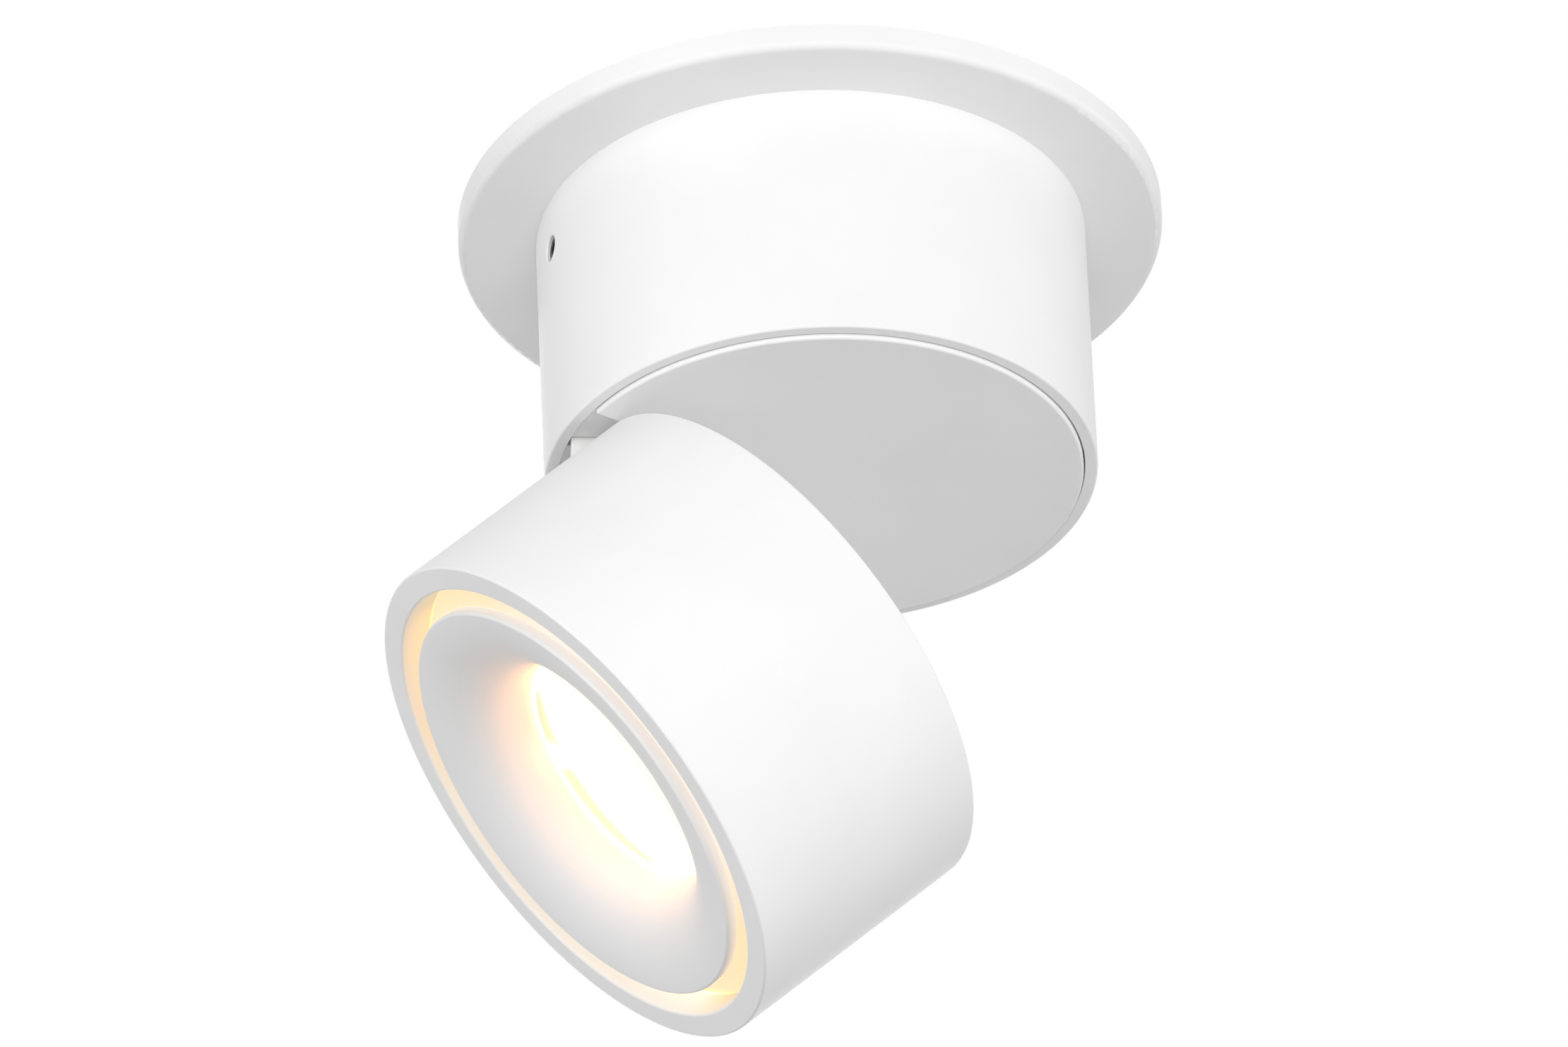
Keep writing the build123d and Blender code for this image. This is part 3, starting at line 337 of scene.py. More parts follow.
# %% [markdown]
# The hidden hinge and the screws are metal: zinc-plated steel, black steel, brass and bare aluminium.
# Plated steel looks mottled and slightly dull, and drawn aluminium keeps fine lines along the draw. In a
# metal the colour sits in the reflection, so the metallic value is 1 and the roughness tells the metals
# apart.

# %% Metals
metal_mottles = 160.0
metal_drift = 0.84
metal_relief = 0.002 * mm
metal_smoother = 0.08
metal_rougher = 0.1


def metal(name, colour, roughness, lines=(1.0, 1.0, 1.0), per_metre=700.0):
    """Metal with a mottled colour, whose gloss follows a pattern that lines draws out along one axis."""
    material, tree, shader = new_finish(name)
    drawn = own_noise(tree, per_metre, lines, detail=3.0)
    drift_colour(tree, own_noise(tree, metal_mottles, detail=4.0), shader, colour, metal_drift)
    vary(tree, drawn, shader.inputs["Roughness"], roughness - metal_smoother, roughness + metal_rougher)
    emboss(tree, drawn, shader, metal_relief)
    shader.inputs["Metallic"].default_value = 1.0
    return material


finishes["zinc_steel"] = metal("zinc_plate", (0.66, 0.67, 0.69), 0.34)
finishes["black_steel"] = metal("black_oxide", (0.07, 0.07, 0.075), 0.42)
finishes["brass"] = metal("brass_turned", (0.78, 0.58, 0.27), 0.3, (1.0, 1.0, 0.1))
finishes["bare_aluminium"] = metal("aluminium_drawn", (0.76, 0.77, 0.78), 0.36, (1.0, 0.04, 1.0), 1500.0)
print("finishes so far:", len(finishes))

# %% [markdown]
# The lamp is lit. Behind its reflector a small board makes a strong warm light, which leaves through a lens
# in the reflector's throat. Small emitters at the board's edge light a frosted disc, whose rim glows in the
# groove round the reflector. The reflector's skirt gets painted light: a weak glow in its white paint that
# stands in for the groove's light falling on it. A light source needs an emission value; a number stored
# on the piece's own points says where it is brighter or yellower.

# %% Finishes that give light
frost_clouds = 90.0
frost_grains = 1800.0
frost_drift = 0.96
frost_spread = 0.08


def glow(material, strength, stops):
    """Light of a finish: a strength times the stops' colours, by the mark on its points, from 0 to 1."""
    tree = material.node_tree
    shader = tree.nodes["Principled BSDF"]
    mark = tree.nodes.new("ShaderNodeAttribute")
    mark.attribute_name = "mark"
    tint(tree, mark.outputs["Fac"], shader.inputs["Emission Color"], *stops)
    shader.inputs["Emission Strength"].default_value = strength


def lit(name, colour, roughness, strength, stops):
    """Frosted surface that gives light."""
    material, tree, shader = new_finish(name)
    grains = own_noise(tree, frost_grains)
    drift_colour(tree, own_noise(tree, frost_clouds), shader, colour, frost_drift)
    vary(tree, grains, shader.inputs["Roughness"], roughness - frost_spread, roughness + frost_spread)
    glow(material, strength, stops)
    return material


groove_glow = [
    (0.0, (0.68, 0.60, 0.52)),
    (0.3, (0.68, 0.52, 0.30)),
    (0.55, (1.0, 0.64, 0.28)),
    (1.0, (1.0, 0.84, 0.65)),
]
lens_glow = [
    (0.0, (0.045, 0.05, 0.0)),
    (0.25, (0.07, 0.065, 0.055)),
    (1.0, (1.0, 0.44, 0.16)),
]
warm_glow = [(0.0, (1.0, 0.75, 0.35)), (1.0, (1.0, 0.75, 0.35))]
# Painted light: stops for a weak glow on the reflector's skirt, in place of the groove's light falling on
# it.
painted_skirt_light = [(0.0, (0.0, 0.0, 0.0)), (1.0, (0.23, 0.17, 0.14))]
finishes["frosted_acrylic"] = lit("frosted_glow", (0.20, 0.19, 0.17), 0.55, 1.25, groove_glow)
finishes["clear_acrylic"] = lit("lens_lit", (0.85, 0.85, 0.82), 0.25, 6.0, lens_glow)
finishes["phosphor"] = lit("phosphor_lit", (0.85, 0.70, 0.25), 0.5, 4.0, warm_glow)
# The reflector's white paint gets this painted skirt light.
glow(finishes["white_reflector"], 1.0, painted_skirt_light)
print("finishes in all:", len(finishes))

# %% [markdown]
# Each solid carries the name of its material, so one short loop dresses them all, the hidden ones too. The
# floor gets a paint of its own. It would look grey so far from the soft boxes, so the camera and mirrors
# see it somewhat lighter than it is, as they do with the world.

# %% Give the solids and the floor their finishes
floor_lift = 0.4
for solid in frame["nodes"].values():
    slot_name = solid.material_slots[0].material.name.split(".")[0]
    solid.material_slots[0].material = finishes[slot_name]
floor_finish = coated("pale_floor_paint", (0.86, 0.86, 0.86), 0.6, 0.01 * mm, 300.0)
floor_tree = floor_finish.node_tree
floor_shader = floor_tree.nodes["Principled BSDF"]
floor_shader.inputs["Emission Color"].default_value = white
floor_level = seen_level(floor_tree, 0.0, floor_lift)
floor_tree.links.new(floor_level, floor_shader.inputs["Emission Strength"])
floor_mesh.materials.append(floor_finish)
print("solids with a finish:", len(frame["nodes"]))

# %% [markdown]
# Most pieces of the lamp are turned: their shape is one outline carried round an axis. So the first shape
# helper rounds the corners of an outline, the second carries it round, and the third numbers the quads of
# the grid that comes out. A rounded corner is a rational curve between the two points where the round
# begins and ends. With the right weight that curve is exactly an arc of a circle. The last helper makes a
# mesh of points and faces and lets it take a solid's place.

# %% Helpers for shapes
turn_columns = 256
turn_angles = np.arange(turn_columns) * 2 * np.pi / turn_columns
round_steps = 6
seam_gap = 0.0001 * mm


def round_corners(corners, rounds):
    """Outline with arcs for corners: start (1 - u)^2 + corner 2 u (1 - u) w + end u^2, divided by the sum
    of these three weights, where w is the sine of half the corner's angle."""
    corners = np.array(corners, float)
    to_last = np.roll(corners, 1, axis=0) - corners
    to_next = np.roll(corners, -1, axis=0) - corners
    back = to_last / np.linalg.norm(to_last, axis=1, keepdims=True)
    on = to_next / np.linalg.norm(to_next, axis=1, keepdims=True)
    half_angle = np.arccos(np.clip((back * on).sum(axis=1), -1, 1))[:, None] / 2
    reach = np.array(rounds, float)[:, None] / np.tan(half_angle)
    start = (corners + back * reach)[:, None]
    end = (corners + on * reach)[:, None]
    u = np.linspace(0, 1, round_steps + 1)[None, :, None]
    start_share = (1 - u) ** 2
    corner_share = 2 * u * (1 - u) * np.sin(half_angle)[:, None, :]
    end_share = u**2
    arcs = start_share * start + corner_share * corners[:, None] + end_share * end
    return (arcs / (start_share + corner_share + end_share)).reshape(-1, 2)


def turn_profile(profile):
    """Grid of a turned shape: x = r cos a and y = r sin a for each pair (r, height) of the profile."""
    radius, height = np.array(profile, float).T[:, :, None]
    x = radius * np.cos(turn_angles)
    y = radius * np.sin(turn_angles)
    return np.stack([x, y, height + 0 * turn_angles], axis=-1)


def grid_quads(rows, columns, rows_closed=True):
    """Corner numbers of a grid's quads, by row and column. Columns close into a ring, and rows if told."""
    row = np.arange(rows if rows_closed else rows - 1)[:, None]
    column = np.arange(columns)[None, :]
    next_row = (row + 1) % rows
    next_column = (column + 1) % columns
    near_corners = row * columns + column, row * columns + next_column
    far_corners = next_row * columns + next_column, next_row * columns + column
    return np.stack([*near_corners, *far_corners], axis=-1)


def soft_step(value):
    """3 v^2 - 2 v^3 of a value held between 0 and 1."""
    held = np.clip(value, 0, 1)
    return held**2 * (3 - 2 * held)


def make_piece(name, points, faces, body, node, slot, crease=35.0, soft_edge=0.0, marks=None):
    """Mesh with merged seams and outward faces, which takes a solid's place, body and finish."""
    mesh = bpy.data.meshes.new(name)
    mesh.from_pydata(points.reshape(-1, 3).tolist(), [], faces)
    if marks is not None:
        mesh.attributes.new("mark", "FLOAT", "POINT").data.foreach_set("value", marks.ravel())
    work = bmesh.new()
    work.from_mesh(mesh)
    bmesh.ops.remove_doubles(work, verts=work.verts, dist=seam_gap)
    bmesh.ops.recalc_face_normals(work, faces=work.faces)
    work.to_mesh(mesh)
    work.free()
    mesh.polygons.foreach_set("use_smooth", np.ones(len(mesh.polygons), bool))
    piece = bpy.data.objects.new(name, mesh)
    bpy.context.scene.collection.objects.link(piece)
    mesh.materials.append(finishes[slot])
    if soft_edge:
        rounding = piece.modifiers.new("soft_edges", "BEVEL")
        rounding.width = soft_edge
        rounding.segments = 3
        rounding.limit_method = "ANGLE"
        rounding.angle_limit = np.radians(crease)
    else:
        mesh.set_sharp_from_angle(angle=np.radians(crease))
    even_shade = piece.modifiers.new("even_shading", "WEIGHTED_NORMAL")
    even_shade.keep_sharp = True
    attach(piece, body)
    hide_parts(node)
    print(name, "faces:", len(mesh.polygons))


# %% [markdown]
# The fixed tube is a turned aluminium tube with an inner ledge that carries the bearing. Two grub screws
# go through its wall. A boolean cut would leave ragged shading on the curved wall, so the grid itself makes
# room: a block of quads round each screw is left out, and rings of points lead from the block's square edge
# to the hole's round edge, through the wall and out to the square on the inner wall.

# %% Measure the ledge and the grub screws
screw_gap = 0.05 * mm
ledge_radius = radii_of(tube_points).min()
ledge_heights = levels_of(tube_points[radii_of(tube_points) < ledge_radius + hair, 2])
screw_points = node_points("tube_grub_screws")
screw_radius = np.ptp(screw_points[:, 2]) / 2
screw_height = screw_points[:, 2].mean()
screw_side = screw_points[screw_points[:, 0] > 0].mean(axis=0)
screw_angle = np.arctan2(screw_side[1], screw_side[0])
hole_radius = screw_radius + screw_gap
print("screw hole radius mm:", round(hole_radius / mm, 3))

# %% Fixed tube with room for the screws
soft_rim = 0.4 * mm
block = 4
column_step = 2 * np.pi / turn_columns
row_step = tube_radius * column_step
hole_heights = screw_height + row_step * np.arange(block, -block - 1, -1)

tube_corners = [
    (tube_radius, tube_top),
    (tube_radius, tube_rim),
    (tube_bore, tube_rim),
    (tube_bore, tube_top),
]
corner_points = round_steps + 1
rounded_tube = round_corners(tube_corners, [0.0, soft_rim, soft_rim / 2, 0.0])
rim_rows = rounded_tube[corner_points : 3 * corner_points]
outer_rows = np.stack([np.full(2 * block + 1, tube_radius), hole_heights], axis=1)
inner_rows = np.stack([np.full(2 * block + 1, tube_bore), hole_heights[::-1]], axis=1)
ledge_rows = [
    (tube_bore, ledge_heights[0]),
    (ledge_radius, ledge_heights[0]),
    (ledge_radius, ledge_heights[-1]),
    (tube_bore, ledge_heights[-1]),
]
tube_profile = np.concatenate(
    [tube_corners[:1], outer_rows, rim_rows, ledge_rows, inner_rows, tube_corners[-1:]]
)
turn_to_screw = np.array(Matrix.Rotation(screw_angle, 3, "Z"))
tube_grid = turn_profile(tube_profile) @ turn_to_screw.T
tube_quads = grid_quads(len(tube_profile), turn_columns)

kept = np.ones(tube_quads.shape[:2], bool)
inner_start = len(tube_profile) - len(inner_rows) - 1
front_columns = np.arange(-block, block)
block_columns = np.concatenate([front_columns, front_columns + turn_columns // 2])
kept[np.ix_(np.arange(1, 2 * block + 1), block_columns)] = False
kept[np.ix_(np.arange(inner_start, inner_start + 2 * block), block_columns)] = False
print("tube rows:", len(tube_profile), "quads left out for the screws:", int((~kept).sum()))

# %% Rings from the square block to the round hole
hole_edge = 0.2 * mm


def hole_rings(angle):
    """Rings round a hole: a square loop blends into a circle on the outer wall, goes through the wall and
    blends back into a square."""
    run = np.arange(2 * block)
    full = np.full(2 * block, block)
    across = np.concatenate([run - block, full, block - run, -full])
    up = np.concatenate([full, block - run, -full, run - block])
    way = np.arctan2(up, across)
    blend = np.array([0.0, 0.4, 0.8, 1.0, 1.0, 1.0, 1.0, 0.8, 0.4, 0.0])[:, None]
    walls = np.array([tube_radius] * 4 + [tube_radius - hole_edge] + [tube_bore] * 5)[:, None]
    circle = np.array([hole_radius + hole_edge] * 4 + [hole_radius] * 6)[:, None]
    turn = (1 - blend) * across * column_step + blend * np.arcsin(circle * np.cos(way) / walls)
    height = screw_height + (1 - blend) * up * row_step + blend * circle * np.sin(way)
    return np.stack([walls * np.cos(angle + turn), walls * np.sin(angle + turn), height], axis=-1)


hole_grids = [hole_rings(screw_angle), hole_rings(screw_angle + np.pi)]
hole_rows, hole_columns = hole_grids[0].shape[:2]
hole_quads = grid_quads(hole_rows, hole_columns, rows_closed=False).reshape(-1, 4)
first_hole = len(tube_profile) * turn_columns
second_hole = first_hole + hole_rows * hole_columns
tube_all_points = np.concatenate([grid.reshape(-1, 3) for grid in [tube_grid, *hole_grids]])
tube_all_quads = np.concatenate([tube_quads[kept], hole_quads + first_hole, hole_quads + second_hole])
make_piece("fixed_tube", tube_all_points, tube_all_quads.tolist(), "base", "base_tube", "white_coat")

# %% [markdown]
# The grub screws sit just below the tube's skin. Each is a short cylinder with a hexagon socket for a key.
# Its end face is a grid whose rows change from circles to hexagons: the hexagon's radius in a direction is
# its half width divided by the cosine of the angle to the nearest flat.

# %% Grub screws
screw_sunk = 0.6 * mm
screw_radii = np.array([0.0, 1.5, 2.0, 2.0, 1.78, 1.4]) * mm
screw_outs = np.array([0.0, 0.0, 0.3, 3.75, 4.0, 4.0]) * mm
socket_half = 1.0 * mm
socket_shares = np.array([1.0, 0.97, 0.94, 0.0])
socket_depths = np.array([0.0, 0.12, 1.8, 2.25]) * mm
key_columns = 48
screw_crease = 25.0


def hexagon(angles):
    """Radius of a hexagon of half width 1 in each direction."""
    flat = np.pi / 3
    return 1 / np.cos((angles + flat / 2) % flat - flat / 2)


def grub_screw(angle):
    """Rows from the inner end outwards: circle rows, then hexagon rows down the socket to its centre."""
    around = np.arange(key_columns) * 2 * np.pi / key_columns
    round_rows = screw_radii[:, None] + 0 * around
    socket_rows = socket_shares[:, None] * socket_half * hexagon(around)
    radius = np.concatenate([round_rows, socket_rows])[..., None]
    screw_length = screw_outs[-1]
    along = np.concatenate([screw_outs, screw_length - socket_depths])
    from_axis = along + tube_radius - screw_sunk - screw_length
    radial = np.array([np.cos(angle), np.sin(angle), 0.0])
    sideways = np.array([-np.sin(angle), np.cos(angle), 0.0])
    upwards = np.array([0.0, 0.0, 1.0])
    centre = from_axis[:, None, None] * radial + screw_height * upwards
    direction = np.cos(around)[:, None] * sideways + np.sin(around)[:, None] * upwards
    return centre + radius * direction


screw_grids = np.stack([grub_screw(screw_angle), grub_screw(screw_angle + np.pi)])
screw_quads = grid_quads(*screw_grids.shape[1:3], rows_closed=False).reshape(-1, 4)
both_quads = np.concatenate([screw_quads, screw_quads + screw_grids[0].size // 3]).tolist()
make_piece(
    "side_grub_screws", screw_grids, both_quads, "base", "tube_grub_screws", "black_steel", screw_crease
)

# %% [markdown]
# The swivel disc closes the tube's lower end and turns in it. Its rounded edge catches a bright line of
# light. On the hinge side a shallow recess with slanting sides leaves room for the head's back edge, and
# two slots let the hinge's ears through. The sizes are read from the solid.

# %% Measure the swivel disc
hinge_zone = -28.5 * mm
edge_zone = 1.0 * mm
rim_zone = 2.0 * mm
disc_low, disc_high = (corner[2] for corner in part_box("swivel_disc"))
disc_points = node_points("swivel_disc")
disc_radius = radii_of(disc_points).max()
disc_mid = (disc_low + disc_high) / 2
in_zone = (disc_points[:, 0] < hinge_zone) & (disc_points[:, 2] > disc_low + edge_zone)
by_hinge = disc_points[in_zone]
floor_points = by_hinge[by_hinge[:, 2] < disc_mid]
recess_floor = floor_points[:, 2].mean()
recess_half = np.abs(floor_points[:, 1]).max()
recess_back = floor_points[:, 0].max()
in_slots = (by_hinge[:, 2] > disc_mid) & (radii_of(by_hinge) < disc_radius - rim_zone)
slot_corners = by_hinge[in_slots]
slot_end = slot_corners[:, 0].max()
slot_from = np.abs(slot_corners[:, 1]).min()
slot_to = np.abs(slot_corners[:, 1]).max()
print("recess depth mm:", round((recess_floor - disc_low) / mm, 2))
print("recess half width mm:", round(recess_half / mm, 2))

# %% [markdown]
# The recess's wall is a function of the distance across, y. Along a slanting side it is a straight line,
# in the corner an arc, and at the back a constant. Moved inwards by a little, the same function gives the
# rows of the rounded edge. Where a slot begins, two columns lie almost at the same y, and only one of them
# enters the slot.

# %% Outline of the disc and its recess
rim_columns = 240
rim_round = 0.5 * mm
recess_slant = np.radians(30.0)
recess_round = 2.0 * mm
recess_edge = 0.2 * mm
recess_mouth = -np.sqrt(disc_radius**2 - recess_half**2)
bend_from = 14.5 * mm
bend_to = 12.7 * mm
half_y = np.concatenate(
    [
        np.linspace(recess_half, bend_from, 6)[1:],
        np.linspace(bend_from, bend_to, 9)[1:],
        np.linspace(bend_to, slot_to + hair, 3)[1:],
        np.linspace(slot_to - hair, slot_from + hair, 4),
        np.linspace(slot_from - hair, 0, 5),
    ]
)
recess_y = np.concatenate([half_y, -half_y[-2::-1]])[None, :] / recess_half


def disc_outline(rim_in, recess_in):
    """Outline moved inwards: x = R cos a, y = R sin a on the rim, then the recess's wall from one mouth to
    the other. The mouth is where the rim's circle meets the side's line y = c - x tan(slant)."""
    radius = disc_radius - rim_in
    slope = np.tan(recess_slant)
    c = recess_half + recess_in / np.cos(recess_slant) + recess_mouth * slope
    under_root = (c * slope) ** 2 - (1 + slope**2) * (c**2 - radius**2)
    mouth_x = (c * slope - np.sqrt(under_root)) / (1 + slope**2)
    mouth_y = c - mouth_x * slope
    turn = np.linspace(-1, 1, rim_columns)[None, :] * np.arctan2(mouth_y, mouth_x)
    back = recess_back + recess_in
    bow = recess_round + recess_in
    bow_y = c - (back - bow) * slope - bow / np.cos(recess_slant)
    y = recess_y * mouth_y
    from_bow = np.clip(np.abs(y) - bow_y, 0, bow * np.cos(recess_slant))
    x = np.minimum(back - bow + np.sqrt(bow**2 - from_bow**2), (c - np.abs(y)) / slope)
    outline_x = np.concatenate([radius * np.cos(turn), x], axis=1)
    outline_y = np.concatenate([radius * np.sin(turn), y], axis=1)
    return outline_x, outline_y


print("columns on the recess's wall:", recess_y.size)

# %% Swivel disc
edge_rows = 8
edge_turn = np.linspace(0, np.pi / 2, edge_rows)[:, None]
inset = 1 - np.sin(edge_turn)
rise = 1 - np.cos(edge_turn)
edge_x, edge_y = disc_outline(inset * rim_round, inset * recess_edge)
wall_x = edge_x[-1:]
wall_y = edge_y[-1:]
on_rim = np.arange(wall_x.size) < rim_columns
edge_size = np.where(on_rim, rim_round, recess_edge)
wall_across = np.abs(wall_y)
in_slot = (wall_across > slot_from) & (wall_across < slot_to)
circle_x = -np.sqrt(np.maximum(disc_radius**2 - wall_across**2, 0))
full_x = np.where(on_rim, wall_x, np.where(in_slot, slot_end, circle_x))
disc_x = np.concatenate([edge_x, wall_x, full_x, full_x])
disc_y = np.concatenate([edge_y, wall_y, wall_y, wall_y])
upper_z = np.array([[recess_floor], [recess_floor], [disc_high]]) + 0 * wall_x
disc_z = np.concatenate([disc_low + rise * edge_size, upper_z])
disc_grid = np.stack([disc_x, disc_y, disc_z], axis=-1)
disc_rows, disc_columns = disc_x.shape
disc_faces = grid_quads(disc_rows, disc_columns, rows_closed=False).reshape(-1, 4).tolist()
last_row = (disc_rows - 1) * disc_columns
disc_faces += [list(range(disc_columns)), list(range(last_row, last_row + disc_columns))]
make_piece("turning_disc", disc_grid, disc_faces, "swivel", "swivel_disc", "white_coat")

# %% [markdown]
# The head's shell is a tube with an inward lip in front, a groove for a snap ring inside, and a slot in
# its back edge where the hinge passes. One outline is carried round, but in the slot its back end stops
# short. Two columns share the slot's side, one long and one short, and the quads between them become the
# slot's flat side wall. The columns in the slot keep their distance across instead of their angle, so the
# walls are flat.

# %% Measure the head shell
slot_zone = 30.5 * mm
shell_points = in_head("head_tube")
shell_radii = radii_of(shell_points)
lip_radius = shell_radii.min()
lip_depth = shell_points[shell_radii < lip_radius + hair, 2].max()
slot_points = shell_points[(shell_points[:, 0] < 0) & (shell_points[:, 2] > slot_zone)]
slot_floor = slot_points[:, 2].min()
slot_half = np.abs(slot_points[slot_points[:, 2] > slot_floor + hair, 1]).min()
print("slot half width mm:", round(slot_half / mm, 3), "slot floor mm:", round(slot_floor / mm, 3))

# %% Head shell
snap_radius = tube_bore + 0.9 * mm
snap_front = 28.45 * mm
snap_back = 29.75 * mm
slot_columns = 29
other_columns = 230
shell_profile = np.array(
    [
        (tube_radius, 0.0),
        (tube_radius, slot_floor),
        (tube_radius, head_length),
        (tube_bore, head_length),
        (tube_bore, slot_floor),
        (tube_bore, snap_back),
        (snap_radius, snap_back),
        (snap_radius, snap_front),
        (tube_bore, snap_front),
        (tube_bore, lip_depth),
        (lip_radius, lip_depth),
        (lip_radius, 0.0),
    ]
)
shell_radius, shell_depth = shell_profile.T[:, :, None]
slot_across = np.linspace(-1, 1, slot_columns)[None, :] * slot_half
beyond = np.linspace(0, 1, other_columns)[None, :]
half_turn = np.arcsin(slot_half / shell_radius)
slot_turns = np.pi + np.arcsin(slot_across / shell_radius)
other_turns = np.pi + half_turn + beyond * (2 * np.pi - 2 * half_turn)
shell_turns = np.concatenate([slot_turns, other_turns], axis=1)
shell_x = shell_radius * np.cos(shell_turns)
shell_y = shell_radius * np.sin(shell_turns)
shell_z = shell_depth + 0 * shell_turns
shell_z[:, :slot_columns] = np.minimum(shell_z[:, :slot_columns], slot_floor)
shell_grid = to_head(np.stack([shell_x, shell_y, shell_z], axis=-1))
shell_quads = grid_quads(*shell_turns.shape).reshape(-1, 4).tolist()
make_piece("head_shell", shell_grid, shell_quads, "head", "head_tube", "white_coat", soft_edge=soft_rim)

# %% [markdown]
# The reflector is a white bell mouth: seen from the front, a flat rim curves inwards like a trumpet into
# the throat, where the light comes out. Half of its outline is a quarter of an ellipse, and the same
# ellipse, smaller by the wall's thickness, makes the back. A small round on the rim's outer edge catches
# the glow. Behind that edge runs a thin skirt with painted light on it: the mark on its points, and with it
# a weak glow in the paint, grows with the depth, because its deeper part lies closer to the light.

# %% Reflector
throat_start = 12.0 * mm
bell_wall = 1.5 * mm
rim_edge = 0.45 * mm
painted_light_fade = 1.2 * mm
bell_rows = 40
arc_rows = 7
skirt_steps = 8
bell_points = in_head("reflector")
bell_rim = radii_of(bell_points).max()
throat_radius = radii_of(bell_points).min()
bell_front = bell_points[:, 2].min()
throat_end = bell_points[:, 2].max()
bell_width = bell_rim - throat_radius
bell_depth = throat_start - bell_front
quarter = np.linspace(0, np.pi / 2, bell_rows)


def bell_curve(wall):
    """Quarter ellipse from throat to rim, thinner by a wall: r = rim - width cos q and
    z = start - depth sin q, with the wall taken off the width and the depth."""
    radius = bell_rim - (bell_width - wall) * np.cos(quarter)
    depth = throat_start - (bell_depth - wall) * np.sin(quarter)
    return np.stack([radius, depth], axis=1)


front_bell = bell_curve(0.0)
front_bell = front_bell[front_bell[:, 0] < bell_rim - rim_edge]
back_bell = bell_curve(bell_wall)
back_bell = back_bell[back_bell[:, 0] < bell_rim - bell_wall][::-1]
rim_turn = np.linspace(-np.pi / 2, 0, arc_rows)
unit_arc = np.stack([np.cos(rim_turn) - 1, np.sin(rim_turn) + 1], axis=1)
rim_arc = unit_arc * rim_edge + (bell_rim, bell_front)
skirt_depths = np.linspace(bell_front + rim_edge, lip_depth, skirt_steps + 1)[1:]
skirt_rows = np.stack([np.full(skirt_steps, bell_rim), skirt_depths], axis=1)
bell_profile = np.concatenate(
    [
        [(throat_radius, throat_end)],
        front_bell,
        rim_arc,
        skirt_rows,
        [(bell_rim - bell_wall, lip_depth), (bell_rim - bell_wall, back_bell[0, 1])],
        back_bell,
        [(throat_radius + bell_wall, throat_end)],
    ]
)
on_skirt = bell_profile[:, 0] > bell_rim - hair
# Marks for the painted light on the skirt: zero on the bell, rising with depth down the skirt.
into_skirt = np.where(on_skirt, bell_profile[:, 1] - bell_front - rim_edge, 0.0)
bell_painted_light = soft_step(into_skirt / painted_light_fade)[:, None] + np.zeros((1, turn_columns))
bell_grid = to_head(turn_profile(bell_profile))
bell_quads = grid_quads(*bell_grid.shape[:2]).reshape(-1, 4).tolist()
make_piece(
    "bell_reflector", bell_grid, bell_quads, "head", "reflector", "white_reflector", marks=bell_painted_light
)

# %% [markdown]
# The glowing groove is part of a frosted acrylic disc behind the lip. Between the reflector and the lip
# the disc rises to a ridge, which slopes from the reflector's skirt down to the foot of the lip. Light
# enters the disc from behind, but not evenly: it is strongest towards the lamp's back and weakest in
# front. So a short table gives the mark at ten angles round the ring, and each point takes its mark from
# the table, in straight lines between the angles.

# %% Glowing ring
slope_steps = 24
glow_degrees = [30, 45, 125, 150, 180, 190, 225, 255, 320, 355]
glow_marks = [0.28, 1.0, 1.0, 0.5, 0.6, 0.28, 0.28, 0.0, 0.0, 0.33]
ring_points = in_head("glow_disc")
ring_radii = radii_of(ring_points)
ring_inner = ring_radii.min()
ring_outer = ring_radii.max()
ring_crest = ring_points[:, 2].min()
ring_back = ring_points[:, 2].max()
ridge_inside = ring_radii[ring_points[:, 2] < ring_crest + hair].max()
slope_share = np.linspace(0, 1, slope_steps)[:, None]
slope_rows = (1 - slope_share) * (ridge_inside, ring_crest) + slope_share * (lip_radius, lip_depth)
ring_profile = np.concatenate(
    [
        [(ring_inner, lip_depth), (ridge_inside, lip_depth)],
        slope_rows,
        [(ring_outer, lip_depth), (ring_outer, ring_back), (ring_inner, ring_back)],
    ]
)
ring_glow = np.interp(np.degrees(turn_angles), glow_degrees, glow_marks, period=360)
ring_marks = np.zeros((len(ring_profile), 1)) + ring_glow
ring_grid = to_head(turn_profile(ring_profile))
ring_quads = grid_quads(*ring_grid.shape[:2]).reshape(-1, 4).tolist()
make_piece("glow_ring", ring_grid, ring_quads, "head", "glow_disc", "frosted_acrylic", marks=ring_marks)

# %% [markdown]
# The lens in the throat is so bright that it looks white. Only a moulded groove at its rim stays a little
# darker and yellower, and three bridges interrupt it. The groove is real here: the rows of the face near
# the rim step down softly by a third of a millimetre, except at the bridges. It is widest towards the
# lamp's back, where the light is strongest too.

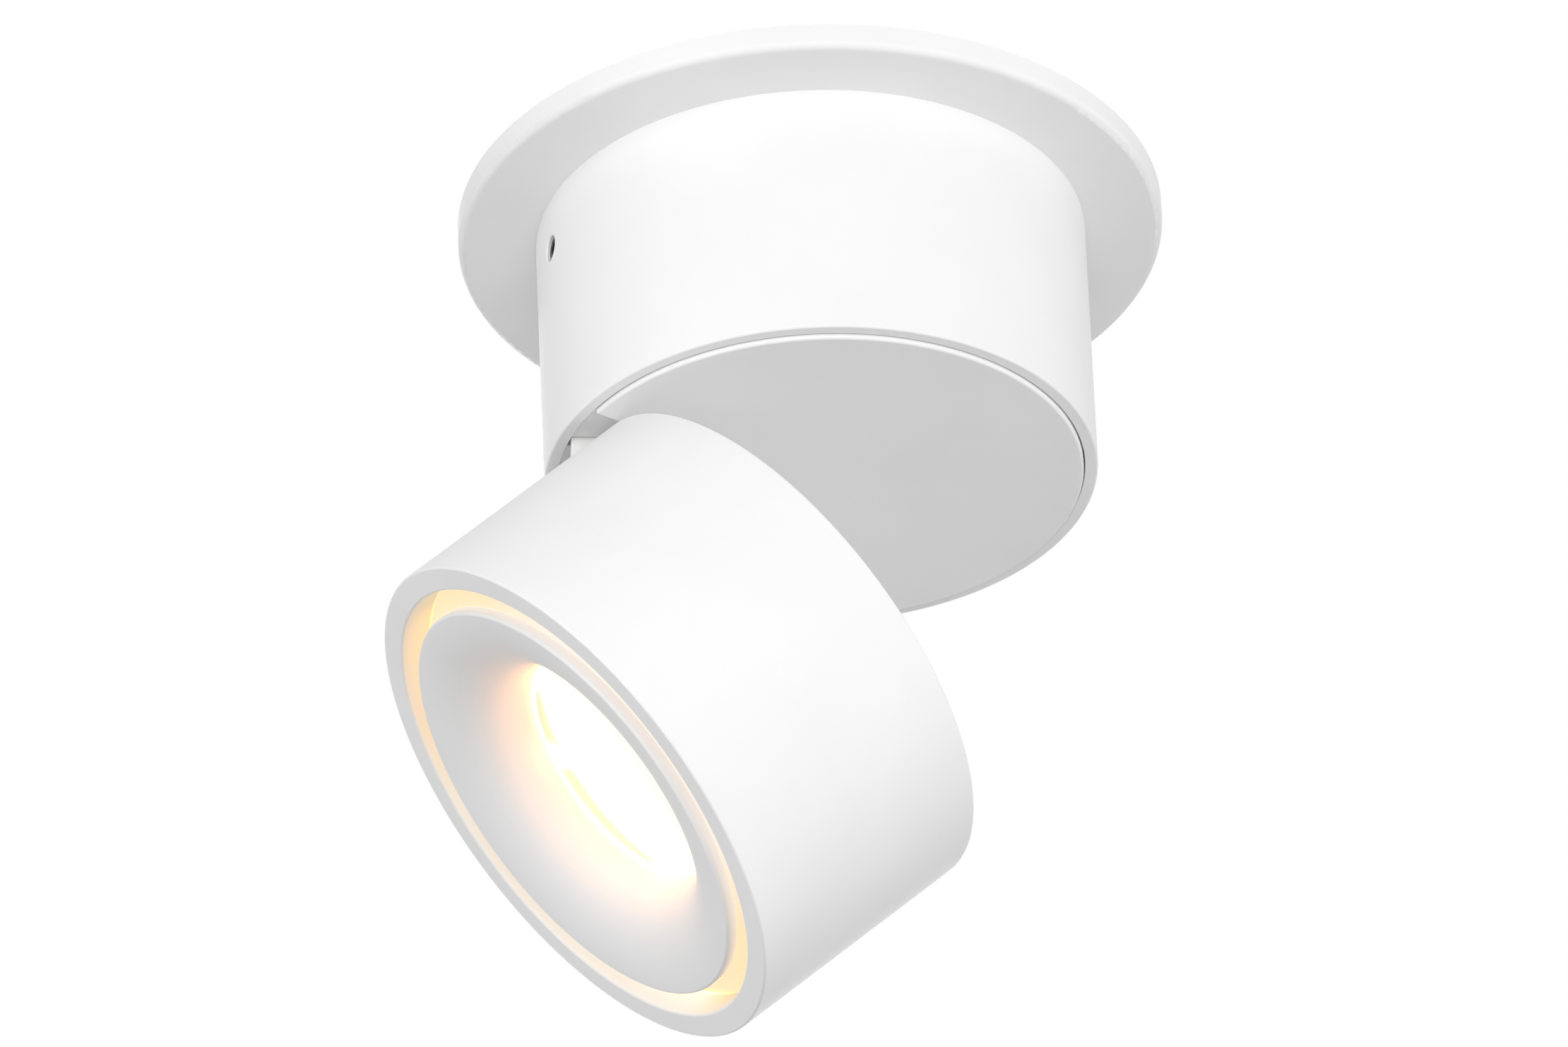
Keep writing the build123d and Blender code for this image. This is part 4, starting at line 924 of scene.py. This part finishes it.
# %% Outline of the lens
foot_radius = 10.0 * mm
plain_zone = 5.4 * mm
fine_zone = 5.2 * mm
plain_rows = 8
fine_rows = 39
lens_points = in_head("front_lens")
lens_radii = radii_of(lens_points)
lens_face = lens_points[:, 2].min()
lens_foot = lens_points[:, 2].max()
lens_edge = lens_radii[lens_points[:, 2] < lens_face + hair].max()
lens_barrel = lens_radii[lens_points[:, 2] < throat_start].max()
lens_outer = lens_radii.max()
flange_depths = levels_of(lens_points[lens_radii > lens_outer - hair, 2])
plain_radii = np.linspace(0, lens_edge - plain_zone, plain_rows)
fine_radii = np.linspace(lens_edge - fine_zone, lens_edge, fine_rows)
face_radii = np.concatenate([plain_radii, fine_radii])
face_rows = face_radii.size
lens_profile = np.concatenate(
    [
        np.stack([face_radii, np.full(face_rows, lens_face)], axis=1),
        [(lens_barrel, lens_face + lens_barrel - lens_edge), (lens_barrel, flange_depths[0])],
        [(lens_outer, flange_depths[0]), (lens_outer, flange_depths[-1])],
        [(lens_barrel, flange_depths[-1]), (foot_radius, lens_foot), (0.0, lens_foot)],
    ]
)
print("lens rows:", len(lens_profile), "of which on its face:", face_rows)

# %% Groove in the face of the lens
groove_width = 5.0 * mm
groove_depth = 0.35 * mm
groove_fall = 2.4 * mm
groove_rise = 1.0 * mm
widest_turn = np.radians(118.5)
least_width = 0.2
bridge_degrees = 136.0
bridge_spacing = 120.0
bridge_half = 5.0
bridge_soft = 6.0
lean = np.maximum(np.cos(turn_angles - widest_turn), least_width)
half_spacing = bridge_spacing / 2
past_bridge = np.degrees(turn_angles) - bridge_degrees
from_bridge = np.abs((past_bridge + half_spacing) % bridge_spacing - half_spacing)
groove_start = lens_edge - groove_width * lean
falling = soft_step((face_radii[:, None] - groove_start) / groove_fall)
rising = soft_step((lens_edge - face_radii[:, None]) / groove_rise)
groove = falling * rising * soft_step((from_bridge - bridge_half) / bridge_soft)
lens_local = turn_profile(lens_profile)
lens_local[:face_rows, :, 2] += groove_depth * groove
print("deepest point of the groove mm:", round(groove_depth * groove.max() / mm, 3))

# %% Light of the lens
light_turn = np.radians(118.0)
beam_start = -0.4
beam_span = 0.9
weak_mark = 0.25
shade_start = 0.4
shade_span = 0.22
shade_gain = 4.0
beam_side = lens_local[..., 0] * np.cos(light_turn) + lens_local[..., 1] * np.sin(light_turn)
beam = soft_step((beam_side / lens_edge - beam_start) / beam_span)
lens_marks = weak_mark + (1 - weak_mark) * beam
shade = groove * soft_step((lean - shade_start) / shade_span)
in_shade = np.clip(shade_gain * shade, 0, 1)
shade_marks = weak_mark * (1 - shade)
lens_marks[:face_rows] = (1 - in_shade) * lens_marks[:face_rows] + in_shade * shade_marks
lens_grid = to_head(lens_local)
lens_quads = grid_quads(*lens_grid.shape[:2], rows_closed=False).reshape(-1, 4).tolist()
make_piece("beam_lens", lens_grid, lens_quads, "head", "front_lens", "clear_acrylic", marks=lens_marks)
